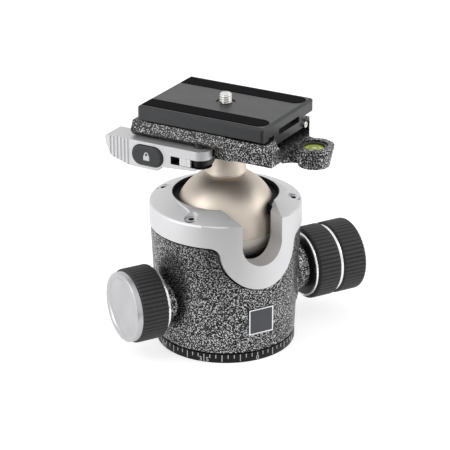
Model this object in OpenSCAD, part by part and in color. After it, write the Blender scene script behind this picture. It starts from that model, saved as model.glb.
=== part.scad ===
// Tripod ball head: a locking ball on a panning base, with a lever clamp and a camera plate.
// Millimetres. Origin: centre of the base's underside. +Z up, +X towards the main lock knob,
// and the drop notch faces -Y.

/* [Base] */
// Radius of the scale ring and of the body's lower edge
base_r = 36.5; // [35:0.5:38]
// Height of the scale ring
ring_h = 4.9; // [4.8:0.1:6.5]
// Width of the scale ring's wall
ring_wall = 3; // [2:0.5:4]
// How far the base disc lies under the scale ring's top
disc_step = 0.3; // [0.2:0.1:0.6]
// Radius of the tripod bush
bush_r = 8; // [7:0.5:8.5]
// Length of the tripod bush
bush_h = 9.5; // [8:0.5:10.5]
// Radius of the 3/8 inch tripod thread
tripod_thread_r = 4.7625; // [3.175:1.5875:4.7625]
// Radius of the pan spindle where the body turns on it
spindle_r = 16; // [15:0.5:17]
// Radius of the spindle's drum, which the pan shoe grips
drum_r = 14.5; // [13.5:0.25:14.75]
// Height of the spindle's top
spindle_top = 24; // [22:0.5:24]
// Number of base screws
base_screw_n = 4; // [3:1:6]
// Radius of the circle of base screws
base_screw_circle = 11.6; // [11.4:0.1:11.8]

/* [Pan bearing] */
// Thickness of the lower pan washer
washer_low_h = 1.1; // [0.6:0.1:1.2]
// Thickness of the upper pan washer
washer_top_h = 0.6; // [0.4:0.1:1]
// Radial width of the pan washers
washer_w = 6; // [4:0.5:8]
// Thickness of the pan retainer
retainer_h = 2.5; // [2:0.25:2.75]
// Radial width of the retainer past the spindle
retainer_w = 5; // [3:0.5:6]

/* [Housing] */
// Wall of the body at its top, outside the ball's chamber
body_wall = 10.4; // [9.8:0.1:10.5]
// Height of the collar's lower edge
collar_low = 65.4; // [64:0.2:67]
// Thickness of the body's floor
floor_h = 6.2; // [5:0.2:6.6]
// Room round the ball in its chamber
ball_room = 1.8; // [1.7:0.1:2.4]
// Width of the step from the ball's chamber in to the cup's bore
chamber_step = 1.8; // [1.6:0.1:2]
// Width of the ledge under the wedge guide
guide_ledge = 1; // [0.7:0.1:1.2]
// Height of the spigot's top, which the collar sits on
spigot_top = 70; // [69:0.5:72]
// Height of the step from the cup's bore to the ball chamber
chamber_step_z = 51; // [51:0.2:52]
// Radius of the boss at the main lock knob
lock_boss_r = 13; // [12:0.5:14]
// Radius of the boss at the pan lock knob
pan_boss_r = 12; // [11:0.5:13]
// Concave radius of the flare from the body to a boss
boss_flare = 9; // [6:0.5:10]
// How far the main boss's face stands out past the body
lock_boss_reach = 4.8; // [4.3:0.1:5]
// How far the pan boss's face stands out past the body
pan_boss_reach = 1.4; // [0.8:0.1:1.6]

/* [Collar] */
// Wall of the collar, outside the ball's chamber
collar_wall = 10.9; // [10.4:0.1:11.2]
// Height of the collar's outer upper edge
collar_edge_z = 77; // [74:0.2:77.6]
// Height of the collar's opening
collar_top = 81.6; // [81:0.2:82.6]
// Room round the ball in the collar's opening
opening_room = 0.6; // [0.4:0.1:1.2]
// Rounding of the collar's outer upper edge
collar_round = 1.6; // [0.8:0.2:2]
// Height of the pads' outer edge beside the notch
pad_edge_z = 77.6; // [77.2:0.2:78.4]
// Half of the width over the pads beside the notch
pad_half_w = 29; // [27:0.5:31]
// Width of the drop notch
notch_w = 23; // [22.6:0.1:24]
// Height of the centre of the notch's round bottom
notch_z = 65.7; // [65.5:0.1:66.5]
// Width of the rim round the notch
lobe_rim = 10; // [8.5:0.5:11.5]
// Height of the centre of the lobe's round outline
lobe_z = 63; // [62:0.2:64]
// Fillet between the lobe and the collar's lower edge
lobe_fillet = 5; // [4:0.5:6]
// Width of the dark line between collar and body
collar_gap = 1; // [0.3:0.05:1.2]
// Distance of the collar screws from the collar's outside
collar_screw_in = 4.7; // [4.5:0.1:5.7]
// Radius of a collar screw's head
collar_screw_r = 3.3; // [2.2:0.1:3.4]
// Height of the seat ring's lower face
seat_low = 75; // [73:0.5:76]
// Height of the seat ring's upper face
seat_top = 79.2; // [78.6:0.1:79.6]

/* [Ball] */
// Radius of the ball
ball_r = 27; // [26.8:0.05:27.05]
// Height of the ball's centre
ball_z = 67.2; // [67:0.1:67.4]
// Height of the seam between the ball's two halves
seam_z = 63.6; // [60:0.2:66]
// Wall of the hollow ball
ball_wall = 5; // [3:0.5:7]
// Radius of the neck under the clamp
neck_r = 9.6; // [9.2:0.1:10]
// Radius of the neck's flared foot
neck_foot_r = 10.9; // [10.4:0.1:11.1]
// Height of the foot's lower edge
neck_foot_z = 93.6; // [93.2:0.1:94]
// Radius of the groove between foot and ball
neck_groove_r = 9.9; // [9.6:0.1:10.2]
// Radius of the stem bolt
stem_bolt_r = 4; // [3:0.5:5]
// Thickness of the liner under the ball
liner_t = 1.25; // [1:0.05:1.3]
// Angle from the bottom at which the liner ends
liner_angle = 65; // [60:1:66]

/* [Lock] */
// Height of the main lock knob's axis
lock_z = 30.4; // [30.2:0.1:30.6]
// Height of the pan lock knob's axis
pan_z = 28.8; // [28.6:0.1:29]
// Radius of both lock screws
lock_screw_r = 4; // [3.5:0.25:4]
// Height of the wedge guide's upper face
guide_top = 26; // [25.9:0.1:26]
// Thickness of the wedge guide
guide_h = 1.4; // [1:0.1:1.4]
// Half of the wedge's width
wedge_half_w = 9; // [8:0.5:10]
// Height of the wedge's nut block above the guide
wedge_h = 9; // [8.9:0.1:9.1]
// Angle of the wedge's ramp
ramp_angle = 15; // [13:0.5:16]
// Height of the pressure cup's underside
cup_low = 36; // [35.8:0.1:36.2]
// Height of the pressure cup's rim
cup_rim = 50.2; // [48:0.2:50.6]
// Half of the pan shoe's width
shoe_half_w = 6.5; // [6:0.25:6.5]
// Travel that the pan shoe has behind it
shoe_travel = 1.25; // [1:0.05:1.3]
// Radius of the friction rod in the hollow lock screw
friction_rod_r = 1.9; // [1.5:0.1:2]

/* [Knobs] */
// Outer radius of the knobs' grips
grip_r = 19.5; // [18:0.25:20]
// Depth of the grips' grooves
groove_d = 0.6; // [0.4:0.1:1]
// Number of ribs round a grip
rib_n = 54; // [36:2:72]
// Rounding at the ends of a grip
grip_round = 1.2; // [0.6:0.2:1.6]
// Radius of the silver inner rings
knob_ring_r = 17.7; // [17:0.1:18]
// Radius of the silver ring between the two right knobs
mid_ring_r = 18.5; // [18:0.1:19]
// Gap between the main boss and its knob
lock_knob_gap = 1.6; // [1.2:0.1:2]
// Width of a silver inner ring
knob_ring_w = 1.5; // [1:0.1:1.6]
// Width of the main lock knob's grip
lock_grip_w = 13; // [12:0.2:15]
// Width of the friction knob's grip
friction_grip_w = 13.9; // [11:0.1:14.5]
// Gap between the pan boss and its knob
pan_knob_gap = 1.2; // [0.8:0.1:1.8]
// Width of the pan knob's grip
pan_grip_w = 14.6; // [12:0.2:15]
// Height of the pan knob's silver end cap
cap_h = 3.2; // [1.8:0.1:3.6]
// Radius of the pan knob's silver end cap
cap_r = 18.4; // [17:0.1:18.6]
// Height of the friction knob's silver end cap
friction_cap_h = 0.8; // [0.6:0.1:3.2]
// Radius of the friction knob's silver end cap
friction_cap_r = 17.6; // [17:0.1:18.6]
// Radius of the knobs' hubs
hub_r = 14; // [12:0.5:15]

/* [Badge] */
// Width of the badge's frame
badge_w = 14.2; // [12:0.2:15]
// Height of the badge's frame
badge_h = 14.1; // [12:0.1:16]
// Height of the badge's centre
badge_z = 22.6; // [20:0.2:25]
// Width of the badge's light frame
badge_rim = 0.7; // [0.5:0.1:1]

/* [Clamp] */
// Turn of the clamp about the stem, seen from above
clamp_yaw = -58.6; // [-62:0.2:-55]
// Left end of the clamp
clamp_left = -40; // [-42:0.5:-38]
// Right end of the clamp
clamp_right = 41.5; // [40.5:0.1:42.5]
// Back face of the clamp
clamp_back = 24; // [23.5:0.1:24.5]
// Front face of the fixed right block
block_front = -28; // [-29:0.2:-27.6]
// Left face of the fixed right block
block_left = 15; // [14.8:0.1:15.8]
// Underside of the clamp's boss
clamp_low = 107.3; // [107.2:0.05:107.4]
// Underside of the clamp's jaws and block
jaw_low = 111; // [110.6:0.1:111.4]
// Floor of the clamp's channel
channel_z = 115; // [114.6:0.1:115.4]
// Top of the jaws
jaw_top = 121.5; // [121:0.1:121.7]
// Front of the clamp's floor behind the moving jaw
floor_front = -13; // [-13.4:0.1:-12.6]
// Half width of the dovetail at its foot
dovetail_foot = 19; // [18.6:0.1:19.4]
// Half width of the dovetail at its waist
dovetail_waist = 16; // [15.6:0.1:16.2]
// Height of the dovetail's foot above the plate's underside
dovetail_foot_h = 1.2; // [1:0.1:1.4]
// Radius of the level ear at its top
ear_r = 10.2; // [9.8:0.1:10.6]
// Radius of the level ear at its foot
ear_foot_r = 8; // [7.8:0.1:8.4]
// Distance of the level's centre from the stem
ear_x = 50; // [49.5:0.1:50.5]
// Height of the ear's top
ear_top = 115.5; // [115:0.1:116]
// Height of the ear's foot
ear_low = 104.9; // [104:0.1:105.2]
// Radius of the level vial
vial_r = 5.3; // [5:0.1:5.6]
// Radius of the level's pocket
ear_pocket_r = 7.1; // [6.9:0.1:7.4]
// Depth of the level's pocket
ear_deep = 4.1; // [3.8:0.1:4.4]
// Wall of the level vial
vial_wall = 0.5; // [0.4:0.05:0.6]

/* [Moving jaw] */
// Right end of the moving jaw
mjaw_right = 14.2; // [13.8:0.1:14.4]
// Underside of the moving jaw
mjaw_low = 113.5; // [113.4:0.05:113.6]
// Front face of the moving jaw
mjaw_front = -27.6; // [-28:0.1:-27.2]
// Radius of a jaw guide pin
guide_pin_r = 1.1; // [0.9:0.05:1.15]

/* [Lever] */
// Left tip of the lever
lever_left = -53.5; // [-55:0.2:-53]
// Front face of the lever
lever_front = -31; // [-31.4:0.1:-30.8]
// Back face of the lever
lever_back = -17; // [-17.4:0.1:-17]
// Top of the lever
lever_top = 113; // [112.8:0.05:113.2]
// Underside of the lever's right part
lever_low = 102.4; // [102.2:0.1:102.6]
// Underside of the lever's grip
lever_grip_low = 98.5; // [98:0.1:99]
// Place of the step between grip and right part
lever_step_x = -21.5; // [-22.2:0.1:-18.2]
// Pivot of the lever, along the clamp
pivot_x = -0.5; // [-0.7:0.1:-0.3]
// Pivot of the lever, across the clamp
pivot_y = -25; // [-25.2:0.1:-24.8]
// Radius of the lever pin
lever_pin_r = 1.3; // [1:0.05:1.35]
// Offset of the cam
cam_offset = 1.5; // [1.2:0.05:1.5]
// Radius of the cam
cam_r = 3; // [2.95:0.05:3.1]
// Lower edge of the lever's slot
slot_low = 103.9; // [103.7:0.05:104]
// Upper edge of the lever's slot
slot_top = 108.2; // [108.1:0.05:108.3]
// Left end of the lever's slot
slot_left = -14.5; // [-15:0.1:-14.2]
// Number of grooves in the lever's grip
lever_groove_n = 6; // [4:1:7]
// Distance from one groove to the next
lever_groove_step = 2.1; // [1.8:0.1:2.2]

/* [Button] */
// Centre of the lock button along the lever
button_x = -28; // [-28.4:0.1:-27.6]
// Height of the lock button's centre
button_z = 105.8; // [105.6:0.1:106]
// Length of the button's recess
button_l = 18.7; // [17.5:0.1:19]
// Height of the button's recess
button_h = 11.3; // [10.5:0.1:11.5]
// Gap round the button
button_gap = 0.4; // [0.3:0.05:0.6]
// Travel of the button
button_travel = 1.5; // [1:0.1:1.6]
// How far the button stands proud of the lever
button_proud = 1.4; // [0.8:0.1:2]

/* [Camera plate] */
// Length of the camera plate
plate_l = 73; // [70:0.5:76]
// Width of the camera plate
plate_w = 54.4; // [52:0.2:58]
// Height of the plate's top
plate_top = 130.3; // [129.8:0.1:131]
// Underside of the plate's flange
flange_low = 123.8; // [123.4:0.1:124.2]
// Underside of the skirt along the plate's front edge
skirt_low = 122.6; // [122:0.1:122.8]
// Width of the skirt along the plate's front edge
skirt_w = 5.5; // [4.5:0.5:6]
// Underside of the dovetail
plate_low = 117.8; // [117.6:0.05:118]
// Chamfer round the plate's top
plate_chamfer = 1.3; // [0.4:0.1:1.4]
// Rounding of the plate's corners, seen from above
plate_corner = 2; // [1:0.5:3]
// Width of a rubber pad
pad_w = 10.5; // [9:0.5:12]
// How far the pads lie from the plate's long edges
pad_edge = 2.2; // [1.6:0.1:3]
// How far a pad stands proud of the plate
pad_proud = 0.25; // [0.15:0.05:0.4]
// Depth of a pad's groove
pad_deep = 1; // [0.8:0.1:1.5]
// Radius of the camera screw
camera_r = 3.175; // [3.175:1.5875:4.7625]
// How far the camera screw stands proud
camera_proud = 4.8; // [4.2:0.2:5.6]
// Depth of the undercut that holds the camera screw in its clip
camera_undercut = 0.7; // [0.5:0.1:0.9]
// Radius of the camera screw's head
camera_head_r = 8.5; // [8:0.1:9]
// Radius of a stop screw
stop_r = 1.65; // [1.4:0.05:1.8]

/* [Hidden] */
$fn = 96;
// Small clearance of a running fit, on the radius
fit = 0.05;
// Clearance between pieces that move past each other
gap = 0.3;
// Overrun of a cut past a face
over = 1;

notch_r = notch_w / 2;
lobe_r = notch_r + lobe_rim;
ball_chamber_r = ball_r + ball_room;
cup_bore_r = ball_chamber_r - chamber_step;
chamber_r = cup_bore_r - guide_ledge;
body_top_r = ball_chamber_r + body_wall;
collar_r = ball_chamber_r + collar_wall;
opening_r = ball_r + opening_room;
collar_screw_circle = collar_r - collar_screw_in;
lock_boss_x = body_top_r + lock_boss_reach;
pan_boss_x = body_top_r + pan_boss_reach;
lock_knob_x = lock_boss_x + lock_knob_gap;
pan_knob_x = pan_boss_x + pan_knob_gap;
disc_h = ring_h - disc_step;
body_low = disc_h + washer_low_h;
floor_top = body_low + floor_h;
retainer_low = floor_top + washer_top_h + fit;
retainer_top = retainer_low + retainer_h;
guide_low = guide_top - guide_h;
ramp_tan = tan(ramp_angle);
wedge_left = -12;
ramp_right = 8;
wedge_right = 22;
wedge_top = guide_top + wedge_h;
ramp_top = wedge_top - 1;
liner_in = ball_r + 0.15;
liner_out = liner_in + liner_t;
cup_in = liner_out + 0.2;
shoe_out = -(sqrt(chamber_r * chamber_r - shoe_half_w * shoe_half_w) - shoe_travel - gap);
shoe_face = -(drum_r + gap);
shoe_low = retainer_top + gap;
shoe_top = cup_low - 1;
lock_grip_x = lock_knob_x + knob_ring_w + 0.1;
lock_end_x = lock_grip_x + lock_grip_w;
friction_x = lock_end_x + gap;
ring_mid_w = 1.6;
friction_grip_x = friction_x + ring_mid_w + 0.1;
friction_end_x = friction_grip_x + friction_grip_w;
pan_grip_x = pan_knob_x + knob_ring_w + 0.1;
pan_end_x = pan_grip_x + pan_grip_w;
ring_t = 0.95;
screw_tip_x = 15.5;
pad_y = plate_w / 2 - pad_edge - pad_w / 2;
lock_bush_r = lock_screw_r + 3;
jaw_gap = 0.1;
dovetail_foot_z = plate_low + dovetail_foot_h;
dovetail_rise_top = dovetail_foot_z + dovetail_foot - dovetail_waist;
boss_r = 15;
bolt_top = channel_z - 1;
bolt_head_r = stem_bolt_r + 2.6;
bolt_head_h = 4.2;
bolt_room_r = stem_bolt_r + 3.2;
bolt_socket_r = 2.5;
bolt_socket_deep = 3.4;
ear_y = 1.5;
ear_skin = 0.6;
vial_h = 2 * vial_wall + 1.4;
bubble_h = vial_h - 2 * vial_wall - 2 * fit;
bubble_r = 1.7;
bezel_sunk = 0.7;
jaw_edge = 0.8;
block_edge = 1.8;
block_end_l = 4.3;
block_end_h = 3.4;
back_corner_l = 5.8;
back_corner_w = 11;
rib_w = 7;
rib_top = plate_low - 0.4;
spring_deep = 4;
guide_pin_places = [clamp_left + 8, mjaw_right - 6];
guide_pin_z = mjaw_low + 1.8;
guide_pin_reach = 9;
guide_pin_seat = 0.7;
spring_pocket_r = guide_pin_r + 0.85;
tongue_r = 4.6;
tongue_low = slot_low + 0.35;
tongue_top = slot_top - 0.3;
lever_end_r = 6;
cam_turn = 130;
cam_h = 5.4;
cam_top = lever_top + cam_h;
cam_slot_grow = 1.2;
lever_slot_end = 100;
lever_tip_l = 3.5;
lever_tip_edge = 0.8;
lever_tip_drop = 4;
lever_tip_rise = 3.4;
lever_belly_l = 14;
lever_heel_l = 5;
lever_heel_drop = 1.4;
lever_end_taper = 3;
lever_bevel_y = 4.5;
lever_bevel_h = 5;
groove_start = 3.6;
groove_r = 0.6;
spring_hole_r = 2.6;
button_hole_deep = 1.8;
button_spring_deep = 3;
latch_rib_n = 3;
latch_rib_step = 1.6;
latch_rib_w = 0.5;
latch_fit = 0.15;
button_deep = 9;
latch_left = -9.4;
latch_right = -3.1;
pad_end = 1.4;
end_slot_w = 21.8;
end_slot_h = 3.2;
end_slot_deep = 3.5;
end_slot_z = flange_low + 0.1;
head_top = flange_low + 0.7;
head_h = 4.4;
driver_slot_w = 2;
driver_slot_deep = 1.8;
shank_r = camera_r - camera_undercut;
screw_chamfer = 0.6;
clip_r = 5;
clip_deep = 1.3;
clip_t = 0.8;
flange_chamfer = 1.8;
skirt_chamfer = 0.6;
stop_head_h = 1.5;
stop_shank_r = 0.95;
stop_shank_l = 3.5;
stop_socket_r = 0.8;
stop_y = 15.8;
stop_z = plate_low + 1.8;
bolt_seat_z = ball_z + ball_r - ball_wall - 0.9;
badge_deep = 1.2;
badge_back = 0.6;
badge_recess = 0.15;
badge_line = 0.4;
badge_line_deep = 0.9;
spigot_w = 2.5;
screw_pilot_r = 1.3;
collar_bolt_r = 1.25;
collar_bolt_l = 5;
collar_socket_z = 0.8;
collar_socket_r = 1.7;
screw_seat_z = collar_edge_z - 0.8;
badge_proud = 0.25;
collar_screw_angles = [-149, -31, 51, 129];
collar_screw_deep = 6;
notch_lead_z = pad_edge_z;
neck_steps = 10;
neck_rise = clamp_low - fit - neck_foot_z;
pad_start = [-notch_r, -sqrt(opening_r * opening_r - notch_r * notch_r), collar_top];
pad_foot_y = -sqrt(collar_r * collar_r - notch_r * notch_r);
pad_fall_y = (collar_top - pad_edge_z) / (pad_start[1] - pad_foot_y);
pad_side = -sqrt(collar_r * collar_r - pad_half_w * pad_half_w);
pad_fall_x = (collar_top - collar_edge_z - pad_fall_y * (pad_start[1] - pad_side)) / (pad_half_w - notch_r);
pad_tilt = atan(sqrt(pad_fall_x * pad_fall_x + pad_fall_y * pad_fall_y));
pad_turn = atan2(-pad_fall_y, -pad_fall_x);
badge_y = -(base_r + (body_top_r - base_r) * (badge_z - body_low) / (collar_low - body_low));

// Places children with their own Z along +X, with the start x from the axis and at height z
module to_right(x, z) {
    translate([x, 0, z]) rotate([0, 90, 0]) children();
}

// The same, towards -X
module to_left(x, z) {
    translate([-x, 0, z]) rotate([0, -90, 0]) children();
}

// Extrudes an outline drawn in Y and Z from x0 to x1
module along_x(x0, x1) {
    translate([x0, 0, 0]) rotate([90, 0, 90]) linear_extrude(x1 - x0) children();
}

// Extrudes an outline drawn in X and Z from y0 to y1
module along_y(y0, y1) {
    translate([0, y1, 0]) rotate([90, 0, 0]) linear_extrude(y1 - y0) children();
}

// A box between two corners
module block(a, b) {
    translate(a) cube([b[0] - a[0], b[1] - a[1], b[2] - a[2]]);
}

module tube(outer, inner, h) {
    difference() {
        cylinder(r = outer, h = h);
        translate([0, 0, -over]) cylinder(r = inner, h = h + 2 * over);
    }
}

module around(n, r, start = 0) {
    for (i = [0 : n - 1]) rotate([0, 0, start + i * 360 / n]) translate([r, 0, 0]) children();
}

module at_collar_screws() {
    for (a = collar_screw_angles) rotate([0, 0, a]) translate([collar_screw_circle, 0, 0]) children();
}

// A slot outline of length l and height h with round ends
module slot_shape(l, h) {
    square([l - h, h], center = true);
    for (s = [-1, 1]) translate([s * (l - h) / 2, 0]) circle(r = h / 2);
}

module in_clamp() {
    rotate([0, 0, clamp_yaw]) children();
}

// Points on an arc of a circle, in n steps
function arc(x, y, r, from, to, n) = [for (i = [0 : n])
    let (a = from + (to - from) * i / n) [x + r * cos(a), y + r * sin(a)]];

// Points of a coil spring's wire surface, with straight ground ends left out
function coil_ring(r, wire, a, rise) = [for (k = [0 : 5]) let (c = k * 60)
    [(r + wire * cos(c)) * cos(a), (r + wire * cos(c)) * sin(a), rise + wire * sin(c)]];

module coil(r, wire, length, turns) {
    rings = turns * 12;
    points = [for (i = [0 : rings]) each coil_ring(r, wire, i * 30, wire + (length - 2 * wire) * i / rings)];
    sides = [for (i = [0 : rings - 1]) for (k = [0 : 5]) each [
        [i * 6 + k, i * 6 + (k + 1) % 6, (i + 1) * 6 + k],
        [i * 6 + (k + 1) % 6, (i + 1) * 6 + (k + 1) % 6, (i + 1) * 6 + k]]];
    first = [for (k = [1 : 4]) [0, k + 1, k]];
    last = [for (k = [1 : 4]) [rings * 6, rings * 6 + k, rings * 6 + k + 1]];
    polyhedron(points = points, faces = concat(sides, first, last));
}

module base_disc() {
    color("#1c1c1e") difference() {
        cylinder(r = base_r - ring_wall - fit, h = disc_h);
        translate([0, 0, -over]) cylinder(r = bush_r + fit, h = disc_h + 2 * over);
        around(base_screw_n, base_screw_circle, 45) {
            translate([0, 0, -over]) cylinder(r = 1.6, h = disc_h + 2 * over);
            translate([0, 0, -over]) cylinder(r = 2.8, h = over + 2.4);
        }
    }
}

module pan_scale_ring() {
    color("#141416") tube(base_r, base_r - ring_wall, ring_h);
}

module tripod_bush() {
    color("#a8a59c") tube(bush_r, tripod_thread_r, bush_h);
}

module pan_spindle() {
    color("#8d8f92") difference() {
        union() {
            translate([0, 0, disc_h]) cylinder(r = spindle_r, h = retainer_low - disc_h);
            translate([0, 0, retainer_low]) cylinder(r = drum_r, h = spindle_top - retainer_low);
        }
        cylinder(r = bush_r + fit, h = bush_h + gap);
        around(base_screw_n, base_screw_circle, 45) cylinder(r = 1.55, h = bush_h + 4);
    }
}

module base_screws() {
    color("#55565a") around(base_screw_n, base_screw_circle, 45) {
        translate([0, 0, gap]) cylinder(r = 2.7, h = 2);
        translate([0, 0, gap]) cylinder(r = 1.5, h = bush_h + 3);
    }
}

module pan_washer_lower() {
    color("#e4e0d0") translate([0, 0, disc_h]) tube(spindle_r + washer_w, spindle_r + gap, washer_low_h);
}

module pan_washer_upper() {
    color("#e4e0d0") translate([0, 0, floor_top]) tube(spindle_r + washer_w, spindle_r + gap, washer_top_h);
}

module pan_retainer() {
    color("#8d8f92") translate([0, 0, retainer_low])
        tube(spindle_r + retainer_w, drum_r + fit / 2, retainer_h);
}

// Outline of the collar's lobe round the notch, grown by g, up to the height top
module lobe_shape(g, top) {
    r = lobe_r + g;
    f = lobe_fillet - g;
    low = collar_low - g;
    fz = low - f;
    fx = sqrt(pow(r + f, 2) - pow(fz - lobe_z, 2));
    meet_z = lobe_z + (fz - lobe_z) * r / (r + f);
    difference() {
        union() {
            translate([0, lobe_z]) circle(r = r);
            translate([-fx, meet_z]) square([2 * fx, top - meet_z]);
        }
        for (s = [-1, 1]) translate([s * fx, fz]) circle(r = f);
        translate([-2 * r, top]) square([4 * r, 2 * r]);
    }
}

// The drop notch, cut from y0 towards -Y
module notch_cut(half_w, y0) {
    along_y(-collar_r - over, y0) {
        translate([0, notch_z]) circle(r = half_w);
        translate([-half_w, notch_z]) square([2 * half_w, collar_top - notch_z + over]);
    }
}

// The chamfer along both upper edges of the notch
module notch_lead_cut() {
    rise = collar_top + over - notch_lead_z;
    along_y(-2 * collar_r, 0) polygon([
        [-notch_r, notch_lead_z], [notch_r, notch_lead_z],
        [notch_r + rise, notch_lead_z + rise], [-notch_r - rise, notch_lead_z + rise]]);
}

// A boss that grows from inside the body out to its face, with a concave flare
module boss(r, length, flare) {
    skin = 3;
    cylinder(r = r, h = length);
    rotate_extrude() difference() {
        square([r + flare, length - skin]);
        translate([r + flare, length - skin]) circle(r = flare);
    }
}

module housing_shell() {
    slope = (body_top_r - base_r) / (collar_low - body_low);
    shell_top = collar_low - collar_gap;
    boss_start = chamber_r + 2;
    color("#77787b") difference() {
        union() {
            translate([0, 0, body_low])
                cylinder(r1 = base_r, r2 = body_top_r - slope * collar_gap, h = shell_top - body_low);
            cylinder(r = ball_chamber_r + spigot_w, h = spigot_top);
            to_right(boss_start, lock_z) boss(lock_boss_r, lock_boss_x - boss_start, boss_flare);
            to_left(boss_start, pan_z) boss(pan_boss_r, pan_boss_x - boss_start, boss_flare);
        }
        translate([0, 0, -over]) cylinder(r = 2 * base_r, h = over + body_low);
        cylinder(r = spindle_r + fit, h = floor_top + over);
        translate([0, 0, floor_top]) cylinder(r = chamber_r, h = guide_low - floor_top + over);
        translate([0, 0, guide_low]) cylinder(r = cup_bore_r, h = chamber_step_z - guide_low + over);
        translate([0, 0, chamber_step_z])
            cylinder(r = ball_chamber_r, h = spigot_top - chamber_step_z + over);
        to_right(0, lock_z) cylinder(r = lock_bush_r + fit / 2, h = lock_boss_x + over);
        to_left(0, pan_z) cylinder(r = lock_bush_r + fit / 2, h = pan_boss_x + over);
        difference() {
            along_y(-2 * base_r, 0) lobe_shape(collar_gap, collar_top);
            cylinder(r = ball_chamber_r, h = collar_top);
        }
        translate([-badge_w / 2 - fit, badge_y + badge_deep, badge_z - badge_h / 2 - fit])
            mirror([0, 1, 0]) cube([badge_w + 2 * fit, 2 * badge_deep + over, badge_h + 2 * fit]);
        translate([-badge_w / 2 - badge_line, badge_y + badge_line_deep, badge_z - badge_h / 2 - badge_line])
            mirror([0, 1, 0])
                cube([badge_w + 2 * badge_line, badge_line_deep + badge_deep, badge_h + 2 * badge_line]);
        at_collar_screws()
            translate([0, 0, collar_low - collar_screw_deep])
                cylinder(r = screw_pilot_r, h = collar_screw_deep + over);
    }
}

// One sloping pad beside the notch, on the side of -X
module collar_pad() {
    intersection() {
        cylinder(r = collar_r, h = collar_top);
        translate([-pad_half_w, -collar_r, spigot_top]) cube([pad_half_w, collar_r, collar_top]);
        translate(pad_start) rotate([0, 0, pad_turn]) rotate([0, pad_tilt, 0])
            translate([-2 * collar_r, -2 * collar_r, -opening_r])
                cube([4 * collar_r, 4 * collar_r, opening_r]);
    }
}

module top_collar() {
    color("#d2d3d4") difference() {
        union() {
            rotate_extrude() polygon(concat(
                [[ball_chamber_r, collar_low], [collar_r, collar_low]],
                arc(collar_r - collar_round, collar_edge_z - collar_round * 0.6, collar_round, 0, 62, 5),
                [[opening_r, collar_top], [opening_r - 1, collar_top]]));
            collar_pad();
            mirror([1, 0, 0]) collar_pad();
            intersection() {
                cylinder(r = collar_r, h = collar_low + over);
                along_y(-collar_r, 0) lobe_shape(0, collar_low + over);
            }
        }
        cylinder(r = opening_r, h = collar_top + over);
        cylinder(r = ball_chamber_r + fit, h = seat_top + fit);
        difference() {
            translate([0, 0, collar_low - over])
                cylinder(r = ball_chamber_r + spigot_w + fit, h = spigot_top + fit - collar_low + over);
            along_y(-2 * collar_r, 0) lobe_shape(0, collar_top);
        }
        notch_cut(notch_r, 0);
        notch_lead_cut();
        at_collar_screws() {
            translate([0, 0, collar_low - over]) cylinder(r = 1.6, h = collar_top);
            translate([0, 0, screw_seat_z]) cylinder(r = collar_screw_r + gap, h = collar_top);
        }
    }
}

module seat_ring() {
    color("#18181a") difference() {
        rotate_extrude() difference() {
            translate([0, seat_low]) square([ball_chamber_r, seat_top - seat_low]);
            translate([0, ball_z]) circle(r = ball_r + fit);
        }
        translate([-notch_r, -collar_r, seat_low - over]) cube([notch_w, collar_r, seat_top]);
        notch_lead_cut();
    }
}

module collar_screws() {
    color("#a9aaac") at_collar_screws() difference() {
        union() {
            translate([0, 0, screw_seat_z]) cylinder(r = collar_screw_r, h = 2);
            translate([0, 0, collar_low - collar_bolt_l])
                cylinder(r = collar_bolt_r, h = screw_seat_z - collar_low + collar_bolt_l + over);
        }
        translate([0, 0, screw_seat_z + collar_socket_z])
            cylinder(r = collar_socket_r, h = 2, $fn = 6);
    }
}

module badge_frame() {
    inside_y = badge_y + badge_deep - badge_back;
    color("#c9cacc") difference() {
        block([-badge_w / 2, badge_y - badge_proud, badge_z - badge_h / 2],
            [badge_w / 2, badge_y + badge_deep, badge_z + badge_h / 2]);
        block([-badge_w / 2 + badge_rim, badge_y - badge_proud - over, badge_z - badge_h / 2 + badge_rim],
            [badge_w / 2 - badge_rim, inside_y, badge_z + badge_h / 2 - badge_rim]);
    }
}

module badge_plate() {
    half_w = badge_w / 2 - badge_rim - fit;
    half_h = badge_h / 2 - badge_rim - fit;
    color("#4c4e52") block([-half_w, badge_y - badge_proud + badge_recess, badge_z - half_h],
        [half_w, badge_y + badge_deep - badge_back, badge_z + half_h]);
}

module ball_liner() {
    far = 3 * ball_r;
    color("#2b2b2e") translate([0, 0, ball_z]) rotate_extrude() intersection() {
        difference() {
            circle(r = liner_out);
            circle(r = liner_in);
        }
        polygon([[0, 0], [far * sin(15), -far * cos(15)], [far * sin(liner_angle), -far * cos(liner_angle)]]);
    }
}

module ball_upper() {
    neck_start = neck_foot_z - 6;
    color("#cdbba6") difference() {
        union() {
            intersection() {
                translate([0, 0, ball_z]) sphere(r = ball_r);
                translate([0, 0, seam_z]) cylinder(r = 2 * ball_r, h = 2 * ball_r);
            }
            rotate_extrude() polygon(concat(
                [[0, neck_start], [neck_groove_r, neck_start], [neck_groove_r, neck_foot_z - 0.4]],
                [for (i = [0 : neck_steps]) let (t = i / neck_steps)
                    [neck_r + (neck_foot_r - neck_r) * pow(1 - t, 2), neck_foot_z + t * neck_rise]],
                [[0, neck_foot_z + neck_rise]]));
        }
        translate([0, 0, ball_z]) sphere(r = ball_r - ball_wall);
        translate([0, 0, ball_z]) cylinder(r = bolt_room_r, h = bolt_seat_z - ball_z);
        translate([0, 0, ball_z]) cylinder(r = stem_bolt_r + fit, h = 2 * ball_r);
    }
}

module ball_lower() {
    color("#b9a893") difference() {
        intersection() {
            translate([0, 0, ball_z]) sphere(r = ball_r);
            translate([0, 0, seam_z - 2 * ball_r]) cylinder(r = 2 * ball_r, h = 2 * ball_r);
        }
        translate([0, 0, ball_z]) sphere(r = ball_r - ball_wall);
    }
}

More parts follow.
